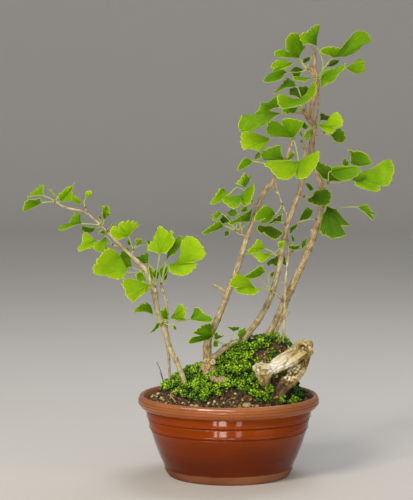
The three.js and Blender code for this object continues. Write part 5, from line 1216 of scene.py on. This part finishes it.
        (0, (300.5, 100.5), (4, 10, 16, 12), [], [(288.5, 95), (289, 90), (293, 87.3), (300, 86.5),
         (307, 87), (307, 93.5)]),
        (0.3, (298, 107), (-2, -6, -10, -4), [], [(281, 108.5), (283.5, 112.3), (286.5, 114),
         (288.3, 112.3), (291.5, 113.8), (294.5, 112.3), (295.6, 110)]),
        (0.45, (281, 113.4), (-8, -10, -28, -32), [(291, 111.6, -4)], [(272, 112.5), (266, 111),
         (262.5, 106), (260.5, 101.5), (259.3, 106), (257.3, 111), (254, 114.2), (247, 113.2),
         (241.5, 113.2), (239.8, 119), (238, 126.3), (241, 130.3), (248, 131.2), (256, 129.3), (265, 124),
         (274, 117)]),
        (0.3, (281, 107), (4, 10, 12, 8), [(291, 108, 2)], [(277, 95), (272.5, 98.5), (268, 102),
         (262.5, 104.5), (265.3, 109), (268, 112), (274, 108.7)]),
    ]),
    "spray_front_tip": ((293, 138.4, -15), [
        (0.75, (270, 138), (0, -2, -10, -2), [(284, 136.9, 0), (276, 136.9, 0)], [(266, 144), (262, 149),
         (259, 150.5), (252, 148.6), (247, 148.3), (243.7, 149.6), (241.6, 145), (240.3, 142.3),
         (241.5, 138.5), (241, 134), (244.5, 131), (249, 130.9), (256.5, 134)]),
        (0.45, (293, 137.4), (-2, -6, -16, -8), [], [(280, 135.3), (273, 136), (269, 134.6), (265.8, 129.5),
         (266, 125), (270, 121.2), (275.5, 121), (281.5, 124.5), (281.3, 120), (285, 118.2), (292, 118.4),
         (298.5, 119.5), (303.8, 121.5), (300.5, 126.5), (297.3, 131.5)]),
        (0.75, (298, 160.8), (-10, -16, -38, -14), [(296, 148, -5)], [(268, 159.8), (263.5, 163.8),
         (269.5, 167.3), (272.5, 172), (276.5, 176.5), (281.5, 179.3), (287, 179.6), (292, 177),
         (294.2, 173.3), (296.3, 177.2), (301, 178), (307, 175.8), (312, 170), (316.5, 164.5), (318.8, 158),
         (318.3, 151.5), (313.5, 152.4), (306, 158)]),
    ]),
    "spray_middle_tip": ((301.2, 140.9, 2.4), [
        (0.3, (301.8, 139), (0, 0, 2, 1), [], [(299.3, 134), (299.6, 130.3), (302, 134)]),
        (0.15, (305, 130.6), (-2, 2, 0, -3), [(303.3, 136.5, -1)], [(300.3, 126.8), (302.3, 122.4),
         (306.3, 124), (309, 127.6)]),
    ]),
    "spray_front_upper": ((284, 161.8, -18), [
        (0.3, (285, 159.4), (0, -4, -2, 4), [], [(281.2, 151.5), (280.6, 145.4), (279, 144.4), (273, 146),
         (266, 148.5), (261.5, 151.8), (262.3, 158.2), (270, 159.6)]),
        (0.3, (254, 160.4), (-1, 4, 2, 0), [(268, 162.6, 0)], [(254.4, 156), (258.5, 151.2), (261, 154),
         (260, 158.4)]),
        (0.45, (253, 160.8), (-2, -4, -10, -6), [(268, 163, 0)], [(249, 158.8), (245.6, 156.2),
         (241.5, 160), (237.6, 169.7), (245, 167.4), (250, 164)]),
        (0.3, (286.3, 160.5), (-1, -4, -5, -3), [], [(288.6, 154), (292, 151.5), (294.4, 153.6),
         (291.8, 158.3)]),
    ]),
    "spray_tall_node": ((315.6, 124.6, 11.4), [
        (0, (318.8, 120.8), (6, 10, 14, 10), [(318.8, 124, 1)], [(318.8, 114.5), (320.8, 112.4),
         (325, 114.5), (330.5, 116.6), (327, 120.6)]),
        (0.75, (317, 124.8), (-3, -8, -18, -10), [], [(326, 122.2), (329.3, 117.5), (332, 113.3),
         (335.5, 111.9), (339.5, 114.5), (341.6, 119.5), (341.2, 124.5), (338, 127.3), (331.5, 127.2),
         (334.6, 129.2), (332.8, 132), (328, 133.3), (321.5, 129.8)]),
        (0.6, (311.8, 127.7), (-1, -3, -6, -3), [], [(311.3, 133), (309.5, 137.5), (306, 140), (303, 136.4),
         (305.7, 132.3)]),
    ]),
    "spray_tall_single": ((323.4, 132.2, 15), [
        (0.3, (328.4, 134.4), (0, 6, 4, -4), [], [(334.5, 131), (336.5, 127.3), (340.5, 128), (344, 133.5),
         (344.5, 139.5), (339.5, 142.6), (333, 140.3)]),
    ]),
    "spray_tall_right": ((327.9, 181.6, 14), [
        (0.3, (349.4, 165), (-2, 6, -4, -8), [(338, 176, 2)], [(350.3, 157.5), (349.8, 153), (346.3, 148.2),
         (351.5, 150.3), (358, 150.5), (364, 152.6), (368.2, 156.2), (369.8, 159.8), (370.4, 163.4),
         (366, 165), (357.5, 166)]),
        (0.15, (345.4, 167.6), (1, 5, 6, 4), [(338, 176.5, 2)], [(340.6, 163.5), (343.8, 158.2),
         (346.5, 159.5), (348.6, 164)]),
        (0.15, (328.6, 181.4), (0, -2, 2, 0), [], [(321.5, 178), (318, 171.5), (314.8, 167), (316, 160),
         (322, 162.6), (330, 166), (338, 168.5), (343, 173), (343.5, 178), (338, 181)]),
        (0.45, (329, 171), (-6, -8, -18, -10), [], [(330.5, 166.4), (336, 165.6), (342, 165.2), (349, 166),
         (357, 166.3), (359.8, 169.5), (356.5, 174), (351, 178.2), (344, 179.9), (337, 178.4),
         (331.5, 174.5)]),
        (0.6, (350, 179.6), (-6, 4, -20, -18), [(339, 182, -3)], [(357, 175.5), (364, 171.8), (372, 168.8),
         (378, 164), (383.5, 159.5), (387.5, 157.8), (390.6, 159.6), (392.6, 164), (393.4, 170), (392, 176),
         (389.5, 182), (385.5, 184.8), (381, 184.6), (376.5, 183.6), (379.6, 187.5), (379.8, 190),
         (377, 191), (371.5, 190.2), (362, 187.3), (354, 184)]),
    ]),
    "spray_middle_right": ((303.9, 195.8, 2.4), [
        (0.15, (311.5, 195.6), (-2, -5, -9, -4), [], [(313.5, 190.5), (320, 188.8), (327, 188.8),
         (330.4, 191.5), (331, 196), (329.5, 202), (321, 205.4), (313.5, 203.5), (307.4, 201.2),
         (307.4, 198.6)]),
        (0.15, (310.4, 191.2), (2, 4, 6, 4), [], [(307.3, 187), (305.3, 182.8), (308.2, 182.2),
         (312, 185.5), (313.8, 189.6)]),
    ]),
    "spray_tall_hanging": ((323.4, 205.6, 17.6), [
        (0.15, (326, 204), (-2, -6, -18, -11), [], [(336, 208.6), (341, 215), (345.5, 220), (350, 224.6),
         (341, 225.4), (346.4, 232.8), (344.5, 235), (338, 236.5), (333, 238), (327, 235.3), (319.6, 231.8),
         (320.6, 222), (322, 213)]),
        (0.3, (356, 206.3), (-4, -2, -10, -6), [(332, 208.3, 2), (345, 206.3, 0)], [(362, 204.6),
         (367.3, 203.2), (369.5, 206.5), (371.8, 211.5), (376, 213.5), (371.7, 214.3), (373.2, 218),
         (372.2, 219.8), (364, 211.6)]),
    ]),
    "spray_tall_left": ((316, 218.4, 20.4), [
        (0.15, (298.5, 221.3), (-2, 2, 4, 0), [(307, 218.8, -1)], [(300.8, 215.5), (304.3, 209),
         (308, 206.3), (311.5, 208.3), (312.7, 211), (310, 216), (306, 219.3)]),
        (0.15, (297.8, 222), (-3, -5, -7, -4), [(307, 219, -1)], [(297.8, 225), (294.5, 229), (290, 232.4),
         (289.8, 227)]),
    ]),
    "spray_front_spur": ((250.7, 198.8, -18), [
        (0.6, (244.8, 186.7), (0, 4, -6, -10), [(246, 192, 2)], [(248.5, 181), (250.7, 173.3),
         (248.3, 176.5), (245.5, 172.4), (242, 174.8), (240, 178.8), (235.3, 182.6), (239.5, 184)]),
        (0.6, (228.6, 194), (-2, 4, -6, -4), [(244.5, 190, 3), (237.5, 186.5, 1)], [(226, 191),
         (223.3, 187.2), (221, 187.5), (217, 192.3), (213.7, 197.3), (211.5, 201.2), (212.3, 204),
         (219, 202), (226, 198.3)]),
        (0.6, (241, 194.5), (-4, -12, -28, -10), [(246, 195.8, -2)], [(232, 196.5), (226, 195.3),
         (222.8, 198.5), (226, 203.3), (230.5, 206.2), (235.5, 207.5), (239.5, 205.5), (241.8, 202.3),
         (243.3, 204.8), (246, 205.2), (249.3, 202.5), (252.5, 195.5), (254.6, 188.5), (253.8, 183.7),
         (252.3, 182.9), (249.3, 188)]),
    ]),
    "spray_front_twig": ((235.8, 229.4, -17.4), [
        (0.45, (222.4, 213.2), (-2, 4, -4, -6), [(231.5, 222, 0)], [(219.5, 211), (217.3, 210.7),
         (210.8, 216.7), (213.6, 216.6), (212.6, 219.2), (214.5, 219.9), (218.5, 217.6)]),
        (0.3, (239, 213.2), (6, 10, 12, 8), [(237.3, 222, 3)], [(237, 208), (231.5, 209.2), (227.8, 212),
         (230.5, 214.9), (235.5, 215.6)]),
        (0.3, (240.4, 211.6), (7, 9, 11, 8), [(237.6, 222, 3)], [(241, 207.2), (246.5, 206), (248, 208.6),
         (244, 211.5)]),
        (0.3, (249.7, 220.5), (-4, -7, -11, -12), [(243, 226, -3)], [(251.5, 210.5), (253.6, 206.6),
         (249, 209.6), (242, 214.2), (235, 219), (229, 222.6), (230.5, 224), (238, 221.4)]),
        (0.45, (225, 225.2), (0, -6, -12, -4), [(230.5, 226.9, 0)], [(221.5, 220.2), (217, 220.6),
         (212, 224.5), (207, 229), (201.8, 232.8), (205, 233.7), (210, 231), (217.5, 228.3)]),
        (0, (228.6, 222.4), (4, 6, 8, 6), [(232.5, 225.5, 2)], [(223.5, 223.2), (220, 220), (223, 213.6),
         (227.5, 215.2), (232, 220)]),
        (0, (229, 229), (4, 8, 4, 0), [], [(225.3, 230.6), (224.6, 234), (226.6, 236), (229, 234.8),
         (230, 231.5)]),
    ]),
    "spray_front_pendant": ((281.8, 203.4, -21.6), [
        (0.45, (275.6, 213), (-4, -6, -14, -4), [(279.6, 208.5, -2)], [(272, 209), (268.3, 205.6),
         (266, 204.5), (263, 205.8), (259.5, 209.3), (256, 213), (254.3, 217.5), (255, 220.3),
         (264.5, 216.7), (260, 221.2), (262, 222.5), (266, 222), (271, 219)]),
    ]),
    "spray_middle_dark": ((285, 223.3, 0.4), [
        (0, (270.6, 224.4), (-6, -5, -12, -8), [(280, 220.9, -2), (275, 221, -4)], [(278, 229.3),
         (283.6, 231.5), (280, 236.2), (273, 238), (268, 236), (264, 231.5), (260, 232), (257.5, 228),
         (258, 223.3), (264, 225.3)]),
        (0, (282.6, 221.3), (0, -2, 2, 4), [], [(283, 212.3), (278, 215), (272.5, 219), (268, 223.4),
         (274, 222.2)]),
    ]),
    "spray_middle_spur": ((277.9, 255, 1.6), [
        (0.75, (264.6, 247.8), (-2, -4, -10, -6), [(273.5, 251.3, -1)], [(262.5, 243.5), (261, 239.2),
         (259.3, 239.2), (254.5, 242.3), (251.5, 246), (247, 249.3), (249, 250.7), (247, 253), (251, 253.8),
         (258.5, 251.5)]),
        (0.75, (272, 253), (-3, -8, -14, -10), [], [(265, 252.5), (258.5, 252), (254.3, 255.2),
         (256.3, 257.3), (260.3, 261.9), (265, 260.2), (269.3, 256.7)]),
        (0.6, (279.6, 248), (-6, -8, -10, -8), [(275.6, 251, -4)], [(278.5, 245), (277.3, 241), (281, 240),
         (285, 240.6), (284, 244.6), (282, 247.5)]),
        (0.15, (276.8, 254.4), (9, 10, 15, 16), [], [(271, 257.5), (267.4, 261), (267.2, 265),
         (272.5, 262.8), (277, 265.5), (282.5, 263.2), (285.6, 263.8), (285.6, 259), (284, 252.6)]),
    ]),
    "spray_middle_low": ((271, 289.9, -4.6), [
        (0.75, (254.8, 287.2), (-10, -12, -26, -18), [(262, 287.2, -4)], [(249.5, 281), (245, 276.5),
         (241.5, 273.7), (237, 273.5), (233.5, 276), (229.3, 282.5), (230, 285.7), (238.5, 285.6),
         (235.2, 288), (236.3, 290.4), (241, 292.5), (247.5, 294.2), (253, 294.4), (257.5, 292.3),
         (259.6, 290)]),
        (0.45, (258.8, 276.3), (-4, 2, -8, -10), [(264, 282, -2)], [(262.5, 272.4), (266.3, 271),
         (264, 267.8), (261, 264.8), (257, 266.7), (250.5, 271.5), (243.8, 276.6), (248, 278.1),
         (254.5, 278)]),
        (0.15, (269.6, 273), (1, 2, 3, 1), [(268.6, 281, 0)], [(272, 270.8), (274.6, 270.6), (274.3, 274),
         (272.3, 277), (270, 275.8)]),
    ]),
    "spray_thin": ((292.2, 250.3, 9), [
        (0.15, (292.5, 249.2), (-1, -4, -2, 4), [], [(288.4, 247.6), (288.6, 244.9), (293, 244.7),
         (300, 244.8), (297.5, 248.6)]),
        (0.15, (301.6, 248.7), (6, 8, 8, 6), [], [(301, 244.5), (303.5, 239), (306.3, 237.4), (306.5, 242),
         (304, 247.5)]),
        (0.15, (293.6, 242.6), (2, 4, 4, 2), [(293.6, 247, 1)], [(291.6, 238.5), (292, 234.6), (294.4, 236),
         (294.8, 240)]),
    ]),
}

# Ginkgo leaf: thin, leathery and softly satin; forked veins fan out from the stalk as faint pale
# ridges, the margin is thin and lets more light through, so it looks yellower.
fanLeaf, tree, shader = newMaterial("satin ginkgo leaf")
tone = addNode(tree, "Attribute", out="Fac", attribute_name="tone")
rib = addNode(tree, "Attribute", out="Fac", attribute_name="rib")
out = addNode(tree, "Attribute", out="Fac", attribute_name="reach")
margin = addNode(tree, "Attribute", out="Fac", attribute_name="margin")
where = addNode(tree, "TexCoord", out="Object")
patches = addNode(tree, "TexNoise", {"Vector": where, "Scale": 60, "Detail": 3})


def veinLines(spacing):
    # 1 on a vein and 0 between veins, for veins that many ribs apart
    near = addNode(tree, "Math",
        {0: addNode(tree, "Math", {0: rib, 1: spacing}, operation="DIVIDE"), 1: 0.5}, operation="PINGPONG")
    return addNode(tree, "Math", {0: 1, 1: addNode(tree, "Math", {0: near, 1: 3.2}, operation="MULTIPLY")},
        operation="SUBTRACT", use_clamp=True)


outer = addNode(tree, "ValToRGB", {0: out}, stops=[(0.35, "#000000"), (0.6, "#ffffff")])
fan = addNode(tree, "Mix", {0: outer, 6: veinLines(2), 7: veinLines(1)}, 2, data_type="RGBA")
mottle = addNode(tree, "TexNoise", {"Vector": where, "Scale": 420, "Detail": 3})
# tone with random patches and mottle, darker by the stalk and lighter towards the rim as painted light and
# shade
shade = tone
for layer, strength, shift in ((patches, 0.4, -0.2), (mottle, 0.36, -0.18), (out, 0.26, -0.17)):
    added = addNode(tree, "Math", {0: layer, 1: strength, 2: shift}, operation="MULTIPLY_ADD")
    shade = addNode(tree, "Math", {0: shade, 1: added}, operation="ADD")
colour = addNode(tree, "ValToRGB", {0: shade},
    stops=[(0.0, "#1d4805"), (0.15, "#2e5f04"), (0.3, "#427506"), (0.45, "#568a06"), (0.6, "#6c9f0b"),
    (0.75, "#85b210"), (1.0, "#a4c81f")])
colour = layOver(tree, colour, linear("#b2ce1c"), fan, 0.28)
edge = addNode(tree, "ValToRGB", {0: margin}, stops=[(0.4, "#ffffff"), (1.0, "#000000")])
colour = layOver(tree, colour, linear("#d4e640"), edge, 0.7)
stem = addNode(tree, "ValToRGB", {0: out}, stops=[(0.0, "#ffffff"), (0.12, "#000000")])
colour = layOver(tree, colour, linear("#b9cc72"), stem, 0.8)
ridged = addNode(tree, "Bump", {"Strength": 0.6, "Distance": 0.3 * mm, "Height": fan})
setSockets(tree, shader,
    {"Base Color": colour, "Roughness": 0.48, "Specular IOR Level": 0.05, "Normal": ridged})

# Spur shoot: crowded brown rings of old bud scales, dull and rough.
budScales, tree, shader = newMaterial("brown bud scales")
where = addNode(tree, "TexCoord", out="Object")
scales = addNode(tree, "TexNoise", {"Vector": where, "Scale": 500, "Detail": 4})
colour = addNode(tree, "ValToRGB", {0: scales},
    stops=[(0.3, "#4d371c"), (0.55, "#8a6c3c"), (0.75, "#b39a63")])
setSockets(tree, shader, {"Base Color": colour, "Roughness": 0.85})


def turnsOf(ribs):
    # how far each rib has turned round the stalk's end, in radians
    turns = [math.atan2(ribs[0].z, ribs[0].x)]
    for rib in ribs[1:]:
        step = math.atan2(rib.z, rib.x) - turns[-1]
        turns.append(turns[-1] + (step + math.pi) % (2 * math.pi) - math.pi)
    return turns


def sideOf(points):
    # a hollow side of a leaf, from the stalk to its corner, as places at equal shares of its length
    line = smoothLine([Vector((0, 0, 0, 0)), *[Vector((*point, 0)) for point in points]], 0.5 * mm)
    run = [0]
    for a, b in zip(line, line[1:]):
        run.append(run[-1] + (b - a).length)

    def at(share):
        return Vector([float(np.interp(share * run[-1], run, [p[k] for p in line])) for k in range(3)])

    return at


def addBlade(bm, base, ribs, tone, draw):
    turns = turnsOf(ribs)
    way = 1 if turns[-1] > turns[0] else -1
    half = len(ribs) // 2
    first = min(range(half), key=lambda i: way * turns[i] - ribs[i].length * blade["corner"])
    last = max(range(half, len(ribs)), key=lambda i: way * turns[i] + ribs[i].length * blade["corner"])
    sides = [sideOf(ribs[:first + 1]) if first else None,
             sideOf(ribs[:last - 1:-1]) if last < len(ribs) - 1 else None]
    ribs = ribs[first:last + 1]
    axis = sum(ribs, Vector()) / len(ribs)
    front = axis.cross(ribs[-1] - ribs[0]).normalized()
    if front.y > 0:
        front.negate()
    length = axis.length
    rim = smoothLine([Vector((*rib, i / (len(ribs) - 1))) for i, rib in enumerate(ribs)],
                     blade["step"] * mm)
    furthest = None
    for point, turn in zip(rim, turnsOf(rim)):  # ribs never cross, not even beside a deep notch
        if furthest is not None and way * (turn - furthest) < blade["least"]:
            turn, reached = furthest + way * blade["least"], math.hypot(point.x, point.z)
            point.x, point.z = reached * math.cos(turn), reached * math.sin(turn)
        furthest = turn
    across = sum((b.xyz - a.xyz).length for a, b in zip(rim, rim[1:]))
    veins = max(6, round(across / (blade["veinEvery"] * mm)))
    edge = 1 - blade["margin"] * mm / length
    count = max(3, round(length / (blade["rowStep"] * mm)))
    reaches = [blade["start"] + (edge - blade["start"]) * k / count for k in range(count + 1)] + [1]
    columns = len(rim) - 1
    verts = gridOf(bm, columns, len(reaches) - 1)
    layers = bm.verts.layers.float
    phase, waves = draw.random(), draw.uniform(*blade["waves"])
    travelled = [0]
    for a, b in zip(rim, rim[1:]):
        travelled.append(travelled[-1] + (b.xyz - a.xyz).length)
    lobes = []
    for distance in travelled:
        here = Vector((distance / (blade["lobeEvery"] * mm), phase * 90, 0))
        scallop = abs(math.sin(math.pi * (here.x + 0.6 * noise.noise(here * 0.7) + phase)))
        near = min(1, min(distance, travelled[-1] - distance) / (blade["round"] * mm))
        cut = (blade["lobe"] * (scallop ** 1.1 - blade["lobeTop"]) * (0.75 + noise.noise(here * 0.5))
               + blade["ragged"] * noise.noise(here * 1.7))
        lobes.append(mm * (cut * near - blade["blunt"] * (1 - near) ** 2))
    for row, r in enumerate(reaches):
        opened = r ** blade["wedge"]
        middle = base + axis * r * (1 - opened) + front * blade["bow"] * length * math.sin(math.pi * r)
        bends = [side(r) - axis * r * (1 - opened) - end.xyz * r * opened if side else Vector()
                 for side, end in zip(sides, (rim[0], rim[-1]))]
        line = []
        for i, end in enumerate(rim):
            rib = end.xyz * (1 + lobes[i] / max(end.xyz.length, blade["shortest"] * mm) * r ** 6)
            wave = math.sin(2 * math.pi * (waves * end.w + phase)) * blade["wave"] * length * r * r
            bend = bends[0] * (1 - end.w) + bends[1] * end.w
            line.append(middle + rib * r * opened + bend + front * wave)
        for i, point in enumerate(line):
            vert = verts[row * (columns + 1) + i]
            vert.co = point
            flank = min((point - line[0]).length, (point - line[-1]).length) / mm
            vert[layers["margin"]] = min(3, flank, (1 - r) * rim[i].xyz.length / mm)
            vert[layers["rib"]] = rim[i].w * veins
            vert[layers["reach"]] = r
            vert[layers["tone"]] = tone
    faces = list(dict.fromkeys(face for vert in verts for face in vert.link_faces))
    bmesh.ops.recalc_face_normals(bm, faces=faces)
    bm.normal_update()
    outward = bm.verts.layers.float_vector["grain"]
    for vert in verts:
        vert[outward] = vert.normal
    made = bmesh.ops.extrude_face_region(bm, geom=faces, use_keep_orig=True)["geom"]
    for vert in made:
        if isinstance(vert, bmesh.types.BMVert):
            vert.co -= vert[outward] * blade["thick"] * mm
    bmesh.ops.recalc_face_normals(bm, faces=bm.faces)
    return axis


def addSpur(bm, bud, towards):
    # a short spur: a stubby knob with rings of scars
    length = spur["long"] * mm
    made = bmesh.ops.create_icosphere(bm, subdivisions=3, radius=length)["verts"]
    turn = towards.to_track_quat("Z", "Y").to_matrix().to_4x4()
    for vert in made:
        wide = spur["slim"] * (1 + spur["ring"] * math.sin(vert.co.z / length * spur["rings"]))
        vert.co = Vector((vert.co.x * wide, vert.co.y * wide, vert.co.z * spur["tall"]))
    bmesh.ops.transform(bm, matrix=Matrix.Translation(bud) @ turn, verts=made)


def addStalk(bm, path, length, tone):
    thick = stalk["thick"] * (1 if length > stalk["smallLeaf"] * mm else stalk["thin"]) * mm
    widths = [stalk["foot"], *[1] * (len(path) - 3), stalk["neck"], stalk["tip"]]
    line = smoothLine([Vector((*p, w * thick)) for p, w in zip(path, widths)], stalk["step"] * mm)
    tube = newLayers()
    addTube(tube, line, stalk["sides"])
    finishSolid(tube)
    for vert in tube.verts:
        vert[tube.verts.layers.float["tone"]] = tone
        vert[tube.verts.layers.float["margin"]] = 3
    joinInto(bm, tube, 0)


draw = random.Random(blade["seed"])
for name, (budSpot, leaves) in sprays.items():
    bud = place(*budSpot)
    bm, scaly = newLayers(), newLayers()
    lean = Vector((0, 0, 0.4 * mm))
    for tone, foot, depths, bends, rim in leaves:
        footDepth, first, middle, last = [depth * blade["turnedOut"] + budSpot[2] for depth in depths]
        base = place(*foot, footDepth)
        ribs = []
        for i, (column, row) in enumerate(rim):
            u = 2 * i / (len(rim) - 1) - 1
            depth = middle * (1 - u * u) + (last - first) / 2 * u + (last + first) / 2 * u * u
            ribs.append(place(column, row, depth) - base)
        axis = addBlade(bm, base, ribs, tone, draw)
        via = [place(column, row, depth * blade["turnedOut"] + budSpot[2]) for column, row, depth in bends]
        path = [bud, *via, base, base + axis * min(0.25, stalk["under"] * mm / axis.length)]
        addStalk(bm, path, axis.length, tone)
        lean += (path[1] - bud).normalized() * mm
    addSpur(scaly, bud, lean)
    joinInto(bm, scaly, 1)
    slot = frame["record"] and next(
        part["material_slot"] for part in frame["record"]["subparts"] if part["node"] == name)
    standFor(pieceOf(name + "_leaves", bm, [fanLeaf, budScales]), name)
print("leaves are out")
